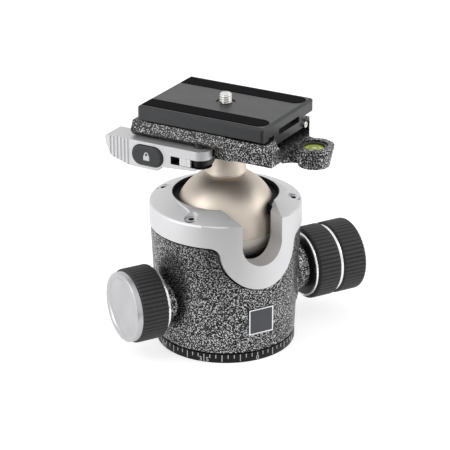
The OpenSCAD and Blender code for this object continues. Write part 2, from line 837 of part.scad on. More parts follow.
module wedge_guide() {
    rail_in = wedge_half_w + 0.1;
    rail_w = 3;
    slot_end = wedge_left - shoe_travel - gap;
    color("#8d8f92") difference() {
        union() {
            translate([0, 0, guide_low]) cylinder(r = cup_bore_r - fit, h = guide_h);
            for (s = [-1, 1]) translate([wedge_left, s > 0 ? rail_in : -rail_in - rail_w, guide_low])
                cube([wedge_right - wedge_left - 2, rail_w, guide_h + wedge_h - 2]);
        }
        block([-2 * chamber_r, -shoe_half_w - gap, 0], [slot_end, shoe_half_w + gap, cup_low]);
    }
}

module lock_wedge() {
    color("#a7a9ab") difference() {
        along_y(-wedge_half_w, wedge_half_w) polygon([[wedge_left, guide_top], [wedge_right, guide_top],
            [wedge_right, wedge_top], [ramp_right, wedge_top],
            [ramp_right, ramp_top - (ramp_right - wedge_left) * ramp_tan], [wedge_left, ramp_top]]);
        to_right(ramp_right + 1, lock_z) cylinder(r = lock_screw_r + fit, h = 2 * wedge_right);
    }
}

module pressure_cup() {
    foot_left = wedge_left + 1.5;
    foot_right = ramp_right - shoe_travel - 0.5;
    color("#6b6c70") difference() {
        union() {
            translate([0, 0, cup_low]) cylinder(r = cup_bore_r - 0.1, h = cup_rim - cup_low);
            along_y(-wedge_half_w + 1, wedge_half_w - 1) polygon([
                [foot_left, cup_low + over], [foot_right, cup_low + over],
                [foot_right, ramp_top - (foot_right - wedge_left) * ramp_tan + fit],
                [foot_left, ramp_top - (foot_left - wedge_left) * ramp_tan + fit]]);
        }
        translate([0, 0, ball_z]) sphere(r = cup_in);
    }
}

module pan_shoe() {
    drum_gap_z = spindle_top - gap;
    heel_x = wedge_left - shoe_travel - 2.6;
    color("#a7a9ab") difference() {
        union() {
            block([shoe_out, -shoe_half_w, shoe_low], [-drum_r + 2, shoe_half_w, drum_gap_z]);
            block([shoe_out, -shoe_half_w, drum_gap_z], [heel_x, shoe_half_w, shoe_top]);
        }
        cylinder(r = -shoe_face, h = spindle_top + over);
        to_left(0, pan_z) cylinder(r = lock_screw_r + fit, h = 2 * chamber_r);
    }
}

// A ribbed rubber grip, from 0 to w along Z
module ribbed_grip(w, bore) {
    rib = 360 / rib_n;
    top = grip_r - grip_round;
    outline = [for (i = [0 : rib_n - 1]) for (k = [[0.06, groove_d], [0.2, 0], [0.72, 0], [0.86, groove_d]])
        let (a = (i + k[0]) * rib, r = grip_r - k[1]) [r * cos(a), r * sin(a)]];
    color("#2c2c2f") difference() {
        intersection() {
            linear_extrude(w) polygon(outline);
            rotate_extrude() polygon(concat([[0, 0]], arc(top, grip_round, grip_round, -90, 0, 4),
                arc(top, w - grip_round, grip_round, 0, 90, 4), [[0, w]]));
        }
        translate([0, 0, -over]) cylinder(r = bore, h = w + 2 * over);
    }
}

// A knob's hub: an inner flange and a core inside the grip, with a bore
module hub(flange_r, flange_w, w, bore) {
    color("#19191b") difference() {
        union() {
            cylinder(r = flange_r, h = flange_w);
            cylinder(r = hub_r, h = w);
        }
        translate([0, 0, -over]) cylinder(r = bore, h = w + 2 * over);
    }
}

module lock_bush() {
    color("#b49a5c") to_right(cup_bore_r + 0.6, lock_z)
        tube(lock_bush_r, lock_screw_r + fit, lock_boss_x - cup_bore_r - 0.6);
}

module pan_lock_bush() {
    color("#b49a5c") to_left(cup_bore_r + 0.6, pan_z)
        tube(lock_bush_r, lock_screw_r + fit, pan_boss_x - cup_bore_r - 0.6);
}

module lock_knob_hub() {
    to_right(lock_knob_x, lock_z)
        hub(knob_ring_r - 1, knob_ring_w + 0.1, lock_end_x - lock_knob_x, lock_screw_r + fit / 2);
}

module lock_knob_ring() {
    color("#dcdddf") to_right(lock_knob_x, lock_z) tube(knob_ring_r, knob_ring_r - ring_t, knob_ring_w);
}

module lock_knob_grip() {
    to_right(lock_grip_x, lock_z) ribbed_grip(lock_grip_w, hub_r + fit / 2);
}

module lock_screw() {
    color("#9a9b9e") to_right(screw_tip_x, lock_z)
        tube(lock_screw_r, friction_rod_r + fit, lock_end_x - screw_tip_x);
}

module friction_hub() {
    to_right(friction_x, lock_z)
        hub(mid_ring_r - 1, ring_mid_w, friction_end_x - friction_x, friction_rod_r + fit / 2);
}

module friction_ring() {
    color("#dcdddf") to_right(friction_x, lock_z) tube(mid_ring_r, mid_ring_r - ring_t, ring_mid_w);
}

module friction_grip() {
    to_right(friction_grip_x, lock_z) ribbed_grip(friction_grip_w, hub_r + fit / 2);
}

// A dished end cap with a rim, seated on a knob's outer end
module end_cap(r, h) {
    rim = min(0.8, h / 2);
    dish = min(0.7, h / 3);
    color("#d4d5d7") rotate_extrude() polygon(concat([[0, 0], [r, 0]],
        arc(r - rim, h - rim, rim, 0, 90, 4),
        [[r - 2.4, h], [r - 3.4, h - dish], [0, h - 1.5 * dish]]));
}

module friction_cap() {
    to_right(friction_end_x, lock_z) end_cap(friction_cap_r, friction_cap_h);
}

module friction_rod() {
    color("#9a9b9e") to_right(screw_tip_x - over, lock_z)
        cylinder(r = friction_rod_r, h = friction_end_x - screw_tip_x + over);
}

module friction_spring() {
    start = ramp_right + 1.1;
    color("#b9bbbe") to_right(start, lock_z) coil(lock_screw_r - 1, 0.4, screw_tip_x - start - 1.3, 3);
}

module pan_knob_hub() {
    to_left(pan_knob_x, pan_z)
        hub(knob_ring_r - 1, knob_ring_w + 0.1, pan_end_x - pan_knob_x, lock_screw_r + fit / 2);
}

module pan_knob_ring() {
    color("#dcdddf") to_left(pan_knob_x, pan_z) tube(knob_ring_r, knob_ring_r - ring_t, knob_ring_w);
}

module pan_knob_grip() {
    to_left(pan_grip_x, pan_z) ribbed_grip(pan_grip_w, hub_r + fit / 2);
}

module pan_knob_cap() {
    to_left(pan_end_x, pan_z) end_cap(cap_r, cap_h);
}

module pan_lock_screw() {
    start = -shoe_face + 3;
    color("#9a9b9e") to_left(start, pan_z) cylinder(r = lock_screw_r, h = pan_end_x - start);
}

// Half of the channel for the dovetail, on the side of +Y: points in Y and Z up to the outer face
function jaw_outline(outer, low, edge) = [
    [outer, low], [outer, jaw_top - edge], [outer - edge, jaw_top],
    [dovetail_waist + jaw_gap + dovetail_rise_top - jaw_top, jaw_top],
    [dovetail_foot + jaw_gap, dovetail_foot_z], [dovetail_foot + jaw_gap, low]];

module clamp_tongue() {
    translate([pivot_x, pivot_y, tongue_low]) cylinder(r = tongue_r, h = tongue_top - tongue_low);
    along_x(pivot_x - tongue_r, pivot_x + tongue_r) polygon([
        [pivot_y, tongue_low], [pivot_y + tongue_r, tongue_low],
        [pivot_y + 10, clamp_low], [floor_front + 1, clamp_low], [floor_front + 1, jaw_low + 1],
        [lever_back + 0.6, jaw_low + 1], [lever_back + 0.6, tongue_top], [pivot_y, tongue_top]]);
}

// The ear at the clamp's right end, which carries the level
module level_ear() {
    translate([ear_x, ear_y, ear_low]) cylinder(r1 = ear_foot_r, r2 = ear_r, h = ear_top - ear_low);
    translate([0, 0, ear_low + 3]) linear_extrude(ear_top - ear_skin - ear_low - 3) difference() {
        polygon([[clamp_right - 3, 14], [clamp_right, 13], [ear_x, ear_y + ear_foot_r + 0.6],
            [ear_x, ear_y - ear_foot_r - 0.6], [clamp_right, -12], [clamp_right - 3, -12]]);
        translate([clamp_right + 4.5, -15]) circle(r = 7);
    }
}

module clamp_body() {
    floor_out = floor_front + over;
    lever_room = lever_end_r + 0.8;
    color("#6f7074") in_clamp() difference() {
        union() {
            translate([0, 0, clamp_low]) cylinder(r = boss_r, h = jaw_low - clamp_low + over);
            block([clamp_left, floor_front, jaw_low],
                [clamp_right, dovetail_foot + jaw_gap + over, channel_z]);
            block([block_left, block_front + 1.5, jaw_low], [clamp_right, floor_out, channel_z]);
            along_x(clamp_left, clamp_right) polygon(jaw_outline(clamp_back, jaw_low, jaw_edge));
            mirror([0, 1, 0]) along_x(block_left, clamp_right)
                polygon(jaw_outline(-block_front, jaw_low, block_edge));
            block([clamp_left + 1, floor_front, channel_z - over],
                [mjaw_right - 1, floor_front + rib_w, rib_top]);
            block([pivot_x + 6, floor_front - 8, clamp_low], [block_left + 1, floor_out, mjaw_low - gap]);
            clamp_tongue();
            level_ear();
        }
        translate([0, 0, clamp_low - over])
            cylinder(r = stem_bolt_r + fit / 2, h = bolt_top - clamp_low + over);
        translate([pivot_x, pivot_y, tongue_top]) cylinder(r = lever_room, h = mjaw_low);
        translate([pivot_x, pivot_y, 0]) cylinder(r = lever_pin_r + fit / 2, h = tongue_top + over);
        translate([ear_x, ear_y, ear_top - ear_deep]) cylinder(r = ear_pocket_r, h = ear_deep + over);
        for (x = guide_pin_places) translate([x, floor_front, guide_pin_z]) rotate([-90, 0, 0]) {
            translate([0, 0, -over]) cylinder(r = guide_pin_r + fit / 2, h = rib_w - 0.6 + over);
            translate([0, 0, -over]) cylinder(r = spring_pocket_r, h = spring_deep + over);
        }
        along_y(block_front - over, -dovetail_waist + 2) polygon([
            [clamp_right - block_end_l, jaw_top], [clamp_right, jaw_top - block_end_h],
            [clamp_right + over, jaw_top - block_end_h], [clamp_right + over, jaw_top + over],
            [clamp_right - block_end_l, jaw_top + over]]);
        translate([0, 0, jaw_low - over]) linear_extrude(2 * (jaw_top - jaw_low)) polygon([
            [clamp_right, clamp_back - back_corner_w], [clamp_right + over, clamp_back + over],
            [clamp_right - back_corner_l - 0.5, clamp_back + over],
            [clamp_right - back_corner_l, clamp_back]]);
    }
}

module level_bezel() {
    color("#3a3a3c") in_clamp() translate([ear_x, ear_y, ear_top - ear_deep])
        tube(ear_pocket_r - fit, vial_r + fit, ear_deep - bezel_sunk);
}

module level_vial() {
    color("#c9d65b") in_clamp() translate([ear_x, ear_y, ear_top - ear_deep]) difference() {
        cylinder(r = vial_r, h = vial_h);
        translate([0, 0, vial_wall]) cylinder(r = vial_r - 2 * vial_wall, h = vial_h - 2 * vial_wall);
    }
}

// The bubble, flattened under the vial's glass
module level_bubble() {
    r = bubble_h / 2;
    color("#eef2c0") in_clamp() translate([ear_x, ear_y, ear_top - ear_deep + vial_wall + fit + r])
        rotate_extrude() {
            translate([bubble_r - r, 0]) intersection() {
                circle(r = r);
                translate([0, -r]) square([r, 2 * r]);
            }
            translate([0, -r]) square([bubble_r - r, 2 * r]);
        }
}

module stem_bolt() {
    head_low = bolt_seat_z - bolt_head_h;
    color("#8d8f92") difference() {
        union() {
            translate([0, 0, head_low]) cylinder(r = bolt_head_r, h = bolt_head_h - fit);
            translate([0, 0, bolt_seat_z - over])
                cylinder(r = stem_bolt_r, h = bolt_top - fit - bolt_seat_z + over);
        }
        translate([0, 0, head_low - over]) cylinder(r = bolt_socket_r, h = bolt_socket_deep, $fn = 6);
    }
}

module lever_pin() {
    color("#9a9b9e") in_clamp() translate([pivot_x, pivot_y, lever_low + 0.4])
        cylinder(r = lever_pin_r, h = cam_top - lever_low - 0.8);
}

module jaw_guide_pins() {
    color("#b9bbbe") in_clamp() for (x = guide_pin_places)
        translate([x, floor_front + rib_w - guide_pin_seat, guide_pin_z]) rotate([90, 0, 0])
            cylinder(r = guide_pin_r, h = rib_w + guide_pin_reach);
}

module jaw_springs() {
    color("#b9bbbe") in_clamp() for (x = guide_pin_places)
        translate([x, floor_front + spring_deep - fit, guide_pin_z]) rotate([90, 0, 0])
            coil(guide_pin_r + 0.5, 0.28, spring_deep - 2 * fit, 4);
}

module moving_jaw() {
    back = floor_front - gap;
    outer = -mjaw_front;
    cam_x = pivot_x + cam_offset * (cos(cam_turn + 50) + 0.15);
    cam_y = pivot_y + cam_offset * sin(cam_turn);
    slot_h = 2 * (cam_r + 0.1);
    color("#77787b") in_clamp() difference() {
        mirror([0, 1, 0]) along_x(clamp_left, mjaw_right) polygon([
            [-back, mjaw_low], [outer - 2.6, mjaw_low], [outer, mjaw_low + 2.6], [outer, mjaw_low + 3.4],
            [outer - 2.2, jaw_top], [dovetail_waist + jaw_gap + dovetail_rise_top - jaw_top, jaw_top],
            [dovetail_foot + jaw_gap, dovetail_foot_z], [dovetail_foot + jaw_gap, rib_top],
            [-back, rib_top]]);
        translate([cam_x, cam_y, mjaw_low - over]) linear_extrude(cam_top - mjaw_low + over + gap)
            slot_shape(slot_h + cam_slot_grow, slot_h);
        for (x = guide_pin_places) translate([x, back + over, guide_pin_z]) rotate([90, 0, 0])
            cylinder(r = guide_pin_r + fit, h = guide_pin_reach + over + 2);
    }
}

// Front outline of the lever in X and Z, up to the pivot
module lever_front_shape() {
    polygon([
        [lever_left, lever_top - lever_tip_edge], [lever_left + lever_tip_edge, lever_top],
        [pivot_x, lever_top], [pivot_x, lever_low],
        [lever_step_x + lever_heel_l, lever_low - 1], [lever_step_x + 1.2, lever_low - lever_heel_drop],
        [lever_step_x - 1.1, lever_grip_low], [lever_left + lever_belly_l, lever_grip_low + 0.3],
        [lever_left + lever_tip_l, lever_grip_low + lever_tip_rise],
        [lever_left + 0.4, lever_top - lever_tip_drop]]);
}

module lever_arm() {
    narrow = pivot_y + lever_end_r;
    recess_floor = lever_front + button_deep;
    bevel_y = lever_front + lever_bevel_y;
    color("#c9cacc") in_clamp() difference() {
        union() {
            along_y(lever_front, lever_back) difference() {
                lever_front_shape();
                translate([slot_left, 0]) square([lever_slot_end, 2 * lever_top]);
            }
            along_y(lever_front, narrow) lever_front_shape();
            translate([pivot_x, pivot_y, lever_low])
                cylinder(r1 = lever_end_r - lever_end_taper, r2 = lever_end_r, h = slot_low - lever_low);
            translate([pivot_x, pivot_y, slot_low - fit])
                cylinder(r = lever_end_r, h = lever_top - slot_low + fit);
        }
        block([slot_left, lever_front - over, slot_low],
            [pivot_x + 2 * lever_end_r, lever_back + over, slot_top]);
        along_x(lever_left - over, pivot_x + lever_end_r + over) polygon([
            [bevel_y, lever_grip_low - over], [bevel_y, lever_grip_low - 0.1],
            [lever_back + over, lever_low + lever_bevel_h], [lever_back + over, lever_grip_low - over]]);
        along_y(lever_front - over, recess_floor)
            translate([button_x, button_z]) slot_shape(button_l, button_h);
        translate([button_x, recess_floor - over, button_z]) rotate([-90, 0, 0])
            cylinder(r = spring_hole_r, h = over + button_hole_deep);
        for (i = [0 : lever_groove_n - 1])
            translate([lever_left + groove_start + i * lever_groove_step, lever_front - 0.15, 0])
                cylinder(r = groove_r, h = 2 * lever_top);
        translate([pivot_x, pivot_y, 0]) cylinder(r = lever_pin_r + fit, h = 2 * lever_top);
    }
}

module lever_cam() {
    color("#9a9b9e") in_clamp() difference() {
        translate([pivot_x + cam_offset * cos(cam_turn), pivot_y + cam_offset * sin(cam_turn), lever_top])
            cylinder(r = cam_r, h = cam_top - lever_top);
        translate([pivot_x, pivot_y, 0]) cylinder(r = lever_pin_r + fit, h = 2 * lever_top);
    }
}

module lock_button() {
    back = lever_front + button_deep - button_travel - gap;
    front = lever_front - button_proud;
    l = button_l - 2 * button_gap;
    h = button_h - 2 * button_gap;
    edge = 0.5;
    color("#58595c") in_clamp() difference() {
        union() {
            along_y(front + edge, back) translate([button_x, button_z]) slot_shape(l, h);
            along_y(front, back) translate([button_x, button_z]) slot_shape(l - 2 * edge, h - 2 * edge);
        }
        translate([button_x, back + over, button_z]) rotate([90, 0, 0])
            cylinder(r = spring_hole_r, h = over + button_spring_deep);
    }
}

module button_spring() {
    start = lever_front + button_deep + button_hole_deep - fit;
    length = button_hole_deep + gap + button_spring_deep - 2 * fit;
    color("#b9bbbe") in_clamp() translate([button_x, start, button_z]) rotate([90, 0, 0])
        coil(2.1, 0.3, length, 4);
}

module latch_slider() {
    low = slot_low + latch_fit;
    top = slot_top - latch_fit;
    color("#d8d9da") in_clamp() difference() {
        union() {
            block([latch_left, lever_front + 0.1, low], [latch_right, pivot_y - tongue_r - 0.1, top]);
            block([latch_left, lever_front + 0.1, low], [pivot_x - tongue_r - 0.25, pivot_y + 3, top]);
        }
        for (i = [1 : latch_rib_n])
            translate([latch_left - 0.6 + i * latch_rib_step, lever_front - gap, slot_low])
                cube([latch_rib_w, 2 * gap, slot_top - slot_low]);
    }
}

// Outline of a rubber pad, seen from above, grown by g
module pad_shape(g) {
    r = pad_w / 2 + g;
    left = -plate_l / 2 + plate_chamfer;
    right = plate_l / 2 - pad_end - pad_w / 2;
    translate([left - g, -r]) square([right - left + g, 2 * r]);
    translate([right, 0]) circle(r = r);
}

module plate_body() {
    c = plate_chamfer;
    w = plate_w / 2;
    l = plate_l / 2;
    edge_top = plate_top - c;
    color("#3b3c3f") in_clamp() difference() {
        union() {
            intersection() {
                along_x(-l, l) polygon([
                    [-w + skirt_chamfer, skirt_low], [-w + skirt_w, skirt_low], [-w + skirt_w, flange_low],
                    [w - flange_chamfer, flange_low], [w, flange_low + flange_chamfer],
                    [w, edge_top], [w - c, plate_top],
                    [-w + c, plate_top], [-w, edge_top], [-w, skirt_low + skirt_chamfer]]);
                along_y(-w, w) polygon([
                    [-l, skirt_low], [l, skirt_low], [l, edge_top], [l - c, plate_top],
                    [-l + c, plate_top], [-l, edge_top]]);
                translate([0, 0, skirt_low]) linear_extrude(plate_top - skirt_low)
                    offset(r = plate_corner)
                        square([2 * (l - plate_corner), 2 * (w - plate_corner)], center = true);
            }
            along_x(-l, l) for (s = [0, 1]) mirror([s, 0]) polygon([
                [0, plate_low], [dovetail_foot, plate_low], [dovetail_foot, dovetail_foot_z],
                [dovetail_waist, dovetail_rise_top],
                [dovetail_waist, flange_low + over], [0, flange_low + over]]);
        }
        for (s = [-1, 1]) translate([0, s * pad_y, plate_top - pad_deep])
            linear_extrude(pad_deep + over) pad_shape(fit);
        for (s = [-1, 1]) translate([s * l, 0, end_slot_z])
            cube([2 * end_slot_deep, end_slot_w, end_slot_h], center = true);
        cylinder(r = camera_r + 0.2, h = 2 * plate_top);
        translate([0, 0, plate_low - over])
            cylinder(r = camera_head_r + gap, h = head_top - plate_low + over);
        translate([0, 0, plate_top - clip_deep]) cylinder(r = clip_r, h = clip_deep + over);
        for (s = [-1, 1]) translate([s * (l - 4), s * stop_y, stop_z]) rotate([0, s * 90, 0])
            cylinder(r = stop_shank_r + fit, h = 8);
    }
}

module pad_strip(s) {
    color("#26272a") in_clamp() translate([0, s * pad_y, plate_top - pad_deep])
        linear_extrude(pad_deep + pad_proud) pad_shape(0);
}

module pad_front() {
    pad_strip(-1);
}

module pad_rear() {
    pad_strip(1);
}

module plate_stop_screws() {
    color("#cfd0d2") in_clamp() for (s = [-1, 1])
        translate([s * plate_l / 2, s * stop_y, stop_z]) rotate([0, s * 90, 0]) difference() {
            union() {
                cylinder(r = stop_r, h = stop_head_h);
                translate([0, 0, -stop_shank_l]) cylinder(r = stop_shank_r, h = stop_shank_l + 0.5);
            }
            translate([0, 0, stop_head_h - stop_socket_r]) cylinder(r = stop_socket_r, h = 2, $fn = 6);
        }
}

// The camera screw: a slotted head under the plate, an undercut shank in the clip, and the stud
module camera_screw() {
    stud_h = camera_proud - screw_chamfer;
    head_low = head_top - 0.1 - head_h;
    color("#d0d0cf") in_clamp() difference() {
        union() {
            translate([0, 0, head_low]) cylinder(r = camera_head_r, h = head_h);
            translate([0, 0, head_top - over]) cylinder(r = shank_r, h = plate_top - head_top + 2 * over);
            translate([0, 0, plate_top]) cylinder(r = camera_r, h = stud_h);
            translate([0, 0, plate_top + stud_h])
                cylinder(r1 = camera_r, r2 = camera_r - screw_chamfer, h = screw_chamfer);
        }
        block([-camera_head_r - 1, -driver_slot_w / 2, head_low - over],
            [camera_head_r + 1, driver_slot_w / 2, head_low + driver_slot_deep]);
    }
}

module screw_clip() {
    color("#8d8f92") in_clamp() translate([0, 0, plate_top - clip_deep])
        tube(clip_r - fit, shank_r + 0.1, clip_t);
}

base_disc();
pan_scale_ring();
tripod_bush();
pan_spindle();
base_screws();
pan_washer_lower();
pan_retainer();
housing_shell();
top_collar();
seat_ring();
collar_screws();
badge_frame();
badge_plate();
lock_bush();
pan_lock_bush();
wedge_guide();
pan_washer_upper();
ball_liner();
ball_upper();
ball_lower();
lock_knob_hub();
lock_knob_grip();
lock_knob_ring();
lock_screw();
friction_hub();
friction_grip();
friction_ring();
friction_cap();
friction_rod();
friction_spring();
lock_wedge();
pressure_cup();
pan_knob_hub();
pan_knob_grip();
pan_knob_ring();
pan_knob_cap();
pan_lock_screw();
pan_shoe();
clamp_body();
level_bezel();
level_vial();
level_bubble();
stem_bolt();
lever_pin();
jaw_guide_pins();
jaw_springs();
moving_jaw();
lever_arm();
lever_cam();
lock_button();
button_spring();
latch_slider();
plate_body();
pad_front();
pad_rear();
plate_stop_screws();
camera_screw();
screw_clip();
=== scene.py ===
"""Looks of the tripod ball head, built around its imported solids.

Lengths are in millimetres until a mesh is made.
"""
import math

import bmesh
import bpy
from mathutils import Matrix, Vector


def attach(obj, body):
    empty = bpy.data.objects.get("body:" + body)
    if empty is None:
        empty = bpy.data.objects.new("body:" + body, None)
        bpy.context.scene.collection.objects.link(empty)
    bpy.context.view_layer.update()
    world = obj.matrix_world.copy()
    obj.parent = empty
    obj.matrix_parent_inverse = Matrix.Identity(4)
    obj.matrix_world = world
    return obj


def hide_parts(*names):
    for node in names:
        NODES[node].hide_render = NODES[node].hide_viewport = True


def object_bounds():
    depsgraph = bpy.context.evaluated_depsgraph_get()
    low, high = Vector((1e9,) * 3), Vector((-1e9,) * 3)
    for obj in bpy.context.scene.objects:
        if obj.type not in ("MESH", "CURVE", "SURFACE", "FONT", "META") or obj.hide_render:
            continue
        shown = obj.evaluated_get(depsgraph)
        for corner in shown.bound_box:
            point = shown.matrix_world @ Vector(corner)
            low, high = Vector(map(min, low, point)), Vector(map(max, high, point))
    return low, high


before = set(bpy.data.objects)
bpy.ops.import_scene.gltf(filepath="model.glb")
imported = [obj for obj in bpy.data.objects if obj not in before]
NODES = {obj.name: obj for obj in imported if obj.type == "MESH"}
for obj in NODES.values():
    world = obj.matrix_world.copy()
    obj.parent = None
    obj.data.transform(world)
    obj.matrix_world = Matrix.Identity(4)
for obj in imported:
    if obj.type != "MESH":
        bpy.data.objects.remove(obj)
CAD_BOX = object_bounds()
MM = 0.001
TAU = 2 * math.pi

# Places that the pieces and the materials share with the solids
BALL_Z = 67.2
LOCK_Z = 30.4
PAN_Z = 28.8
CLAMP_YAW = math.radians(-58.6)
CLAMP = Matrix.Rotation(CLAMP_YAW, 4, "Z")
# The cone inside the body's painted skin, where the paint is black as painted shade: its radius at the
# floor, and its growth with height
BODY_SHADE_CONE = (35.99, 0.0452)
# The column about the lever's pin, whose paint is left black as painted shade: x, y, radius and top
TONGUE_SHADE = (-21.6, -12.6, 8.5, 109)
# Radius inside which the collar's opening wall is painted black, as painted shade
OPENING_SHADE_R = 27.8
# Opposite corners of the room inside the lever's slot, in the clamp's own axes, where the lever is
# painted black as shade
SLOT_LOW = (-14.6, -30.7, 103.8)
SLOT_HIGH = (6.6, -17.2, 108.3)
# Height just under the top faces of the collar screws, below which their steel is painted black as shade
SOCKET_TOP = 77.95


def to_right(x, z):
    """Turns a piece's own Z to +X, with its start at x and its axis at height z."""
    return Matrix.Translation((x, 0, z)) @ Matrix.Rotation(math.pi / 2, 4, "Y")


def to_left(x, z):
    """Turns a piece's own Z to -X, with its start at -x and its axis at height z."""
    return Matrix.Translation((-x, 0, z)) @ Matrix.Rotation(-math.pi / 2, 4, "Y")


def on_clamp(x, y, z=0):
    """A place in the clamp's own axes."""
    return CLAMP @ Matrix.Translation((x, y, z))


# Materials

class Material:
    """A procedural material, with short calls for the nodes that it uses."""

    def __init__(self, name, color, roughness, metallic=0.0):
        self.mat = bpy.data.materials.new(name)
        self.mat.use_nodes = True
        self.tree = self.mat.node_tree
        self.shader = self.tree.nodes["Principled BSDF"]
        self.set(self.shader, "Base Color", (*color, 1))
        self.set(self.shader, "Roughness", roughness)
        self.set(self.shader, "Metallic", metallic)
        self.coords = self.node("ShaderNodeTexCoord").outputs["Object"]

    def node(self, kind, **values):
        made = self.tree.nodes.new(kind)
        for key, value in values.items():
            setattr(made, key, value)
        return made

    def set(self, node, socket, value):
        node.inputs[socket].default_value = value

    def link(self, output, node, socket):
        self.tree.links.new(output, node.inputs[socket])

    def mapped(self, **values):
        """The piece's coordinates, turned or scaled."""
        mapping = self.node("ShaderNodeMapping")
        for key, value in values.items():
            self.set(mapping, key, value)
        self.link(self.coords, mapping, "Vector")
        return mapping.outputs["Vector"]

    def noise(self, size_mm, detail, roughness, distortion=0.0, stretch=None):
        """Noise with features of about size_mm, stretched along an axis where stretch says so."""
        noise = self.node("ShaderNodeTexNoise")
        self.set(noise, "Scale", 1 / (size_mm * MM))
        self.set(noise, "Detail", detail)
        self.set(noise, "Roughness", roughness)
        self.set(noise, "Distortion", distortion)
        self.link(self.mapped(Scale=stretch) if stretch else self.coords, noise, "Vector")
        return noise.outputs["Fac"]

    def ramp(self, source, stops):
        """Maps a value to the stops (position, grey or colour)."""
        ramp = self.node("ShaderNodeValToRGB")
        elements = ramp.color_ramp.elements
        while len(elements) < len(stops):
            elements.new(0.5)
        for element, (position, color) in zip(elements, stops):
            element.position = position
            element.color = (*color, 1) if isinstance(color, tuple) else (color, color, color, 1)
        self.link(source, ramp, "Fac")
        return ramp.outputs["Color"]

    def spread(self, source, low, high):
        """Maps 0 to 1 onto low to high."""
        span = self.node("ShaderNodeMapRange")
        self.set(span, "To Min", low)
        self.set(span, "To Max", high)
        self.link(source, span, "Value")
        return span.outputs["Result"]

    def bump(self, height, distance_mm, strength=1.0):
        bump = self.node("ShaderNodeBump")
        self.set(bump, "Distance", distance_mm * MM)
        self.set(bump, "Strength", strength)
        self.link(height, bump, "Height")
        self.link(bump.outputs["Normal"], self.shader, "Normal")

    def math(self, operation, a, b=0.0):
        made = self.node("ShaderNodeMath", operation=operation)
        for index, value in enumerate((a, b)):
            if isinstance(value, (int, float)):
                made.inputs[index].default_value = value
            else:
                self.tree.links.new(value, made.inputs[index])
        return made.outputs[0]

    def parts(self, source=None):
        """The three parts of the piece's coordinates, or of the source's."""
        split = self.node("ShaderNodeSeparateXYZ")
        self.link(self.coords if source is None else source, split, "Vector")
        return split.outputs

    def axis_distance(self, origin, axes):
        """Distance in millimetres from a line, measured along two axes such as (1, 2) for Y and Z."""
        place = self.parts()
        squares = []
        for axis in axes:
            offset = self.math("SUBTRACT", place[axis], origin[axis] * MM)
            squares.append(self.math("MULTIPLY", offset, offset))
        total = self.math("ADD", *squares)
        return self.math("MULTIPLY", self.math("SQRT", total), 1 / MM)


def blotches(material, low, high):
    """Uneven roughness, between low and high."""
    patches = material.noise(9, detail=5, roughness=0.6)
    material.link(material.spread(patches, low, high), material.shader, "Roughness")


def wear(material, base, low, high):
    """Uneven roughness and a faint change of tone, as handled metal and rubber have."""
    blotches(material, low, high)
    darker = tuple(c * 0.93 for c in base)
    lighter = tuple(min(1, c * 1.05) for c in base)
    patches = material.noise(14, detail=4, roughness=0.55)
    material.link(material.ramp(patches, [(0.3, darker), (0.7, lighter)]), material.shader, "Base Color")


def speckled(name, fleck, plain=None, skin=None):
    """Black paint with silver flecks that run into short worms.

    Plain names a column (x, y, radius, top) left black, as painted shade.
    Skin (radius, slope) names a cone about Z that is black inside, as painted shade.
    """
    black = (0.003, 0.003, 0.004)
    dim = (0.2 * fleck,) * 3
    bright = (fleck,) * 3
    made = Material(name, (0.02, 0.02, 0.02), 0.42)
    made.set(made.shader, "Specular IOR Level", 0.3)
    flecks = made.noise(0.64, detail=0.6, roughness=0.5, distortion=0.4)
    height = made.math("MULTIPLY", made.parts()[2], 1 / MM)
    # Painted shade: the column about the lever's pin loses its flecks.
    if plain:
        x, y, radius, top = plain
        near = made.math("LESS_THAN", made.axis_distance((x, y), (0, 1)), radius)
        low = made.math("LESS_THAN", height, top)
        flecks = made.math("SUBTRACT", flecks, made.math("MULTIPLY", near, low))
    # Painted shade: the body's inside loses its flecks, so the gaps that show it read black.
    if skin:
        radius, slope = skin
        growth = made.math("MULTIPLY", height, slope)
        reach = made.math("SUBTRACT", made.axis_distance((0, 0), (0, 1)), growth)
        flecks = made.math("SUBTRACT", flecks, made.math("LESS_THAN", reach, radius))
    mask = made.ramp(flecks, [(0.535, 0.0), (0.595, 1.0)])
    color = made.ramp(flecks, [(0.525, black), (0.558, dim), (0.605, bright)])
    made.link(color, made.shader, "Base Color")
    made.link(mask, made.shader, "Metallic")
    made.link(made.spread(mask, 0.42, 0.34), made.shader, "Roughness")
    made.bump(flecks, 0.03, 0.5)
    return made.mat


def satin_metal(name, color, roughness, metallic=1.0):
    """Metal with a fine even grain."""
    made = Material(name, color, roughness, metallic)
    wear(made, color, roughness - 0.05, roughness + 0.06)
    made.bump(made.noise(0.25, detail=3, roughness=0.7), 0.004)
    return made.mat


def part_black(made, inside, color, metallic, black=(0.004, 0.004, 0.005)):
    """Gives a metal a fine even grain, and paints it a dull black as painted shade where inside is 1."""
    made.link(made.ramp(inside, [(0.4, color), (0.6, black)]), made.shader, "Base Color")
    lost = made.math("MULTIPLY", inside, metallic)
    made.link(made.math("SUBTRACT", metallic, lost), made.shader, "Metallic")
    made.bump(made.noise(0.25, detail=3, roughness=0.7), 0.004)
    return made.mat


def lined_collar():
    """The collar's silver, with the wall of its opening painted black as shade."""
    color = (0.75, 0.75, 0.76)
    metallic = 0.6
    made = Material("collar_silver", color, 0.5, metallic)
    blotches(made, 0.45, 0.56)
    # Painted shade: the opening's wall turns black.
    inside = made.math("LESS_THAN", made.axis_distance((0, 0), (0, 1)), OPENING_SHADE_R)
    return part_black(made, inside, color, metallic)


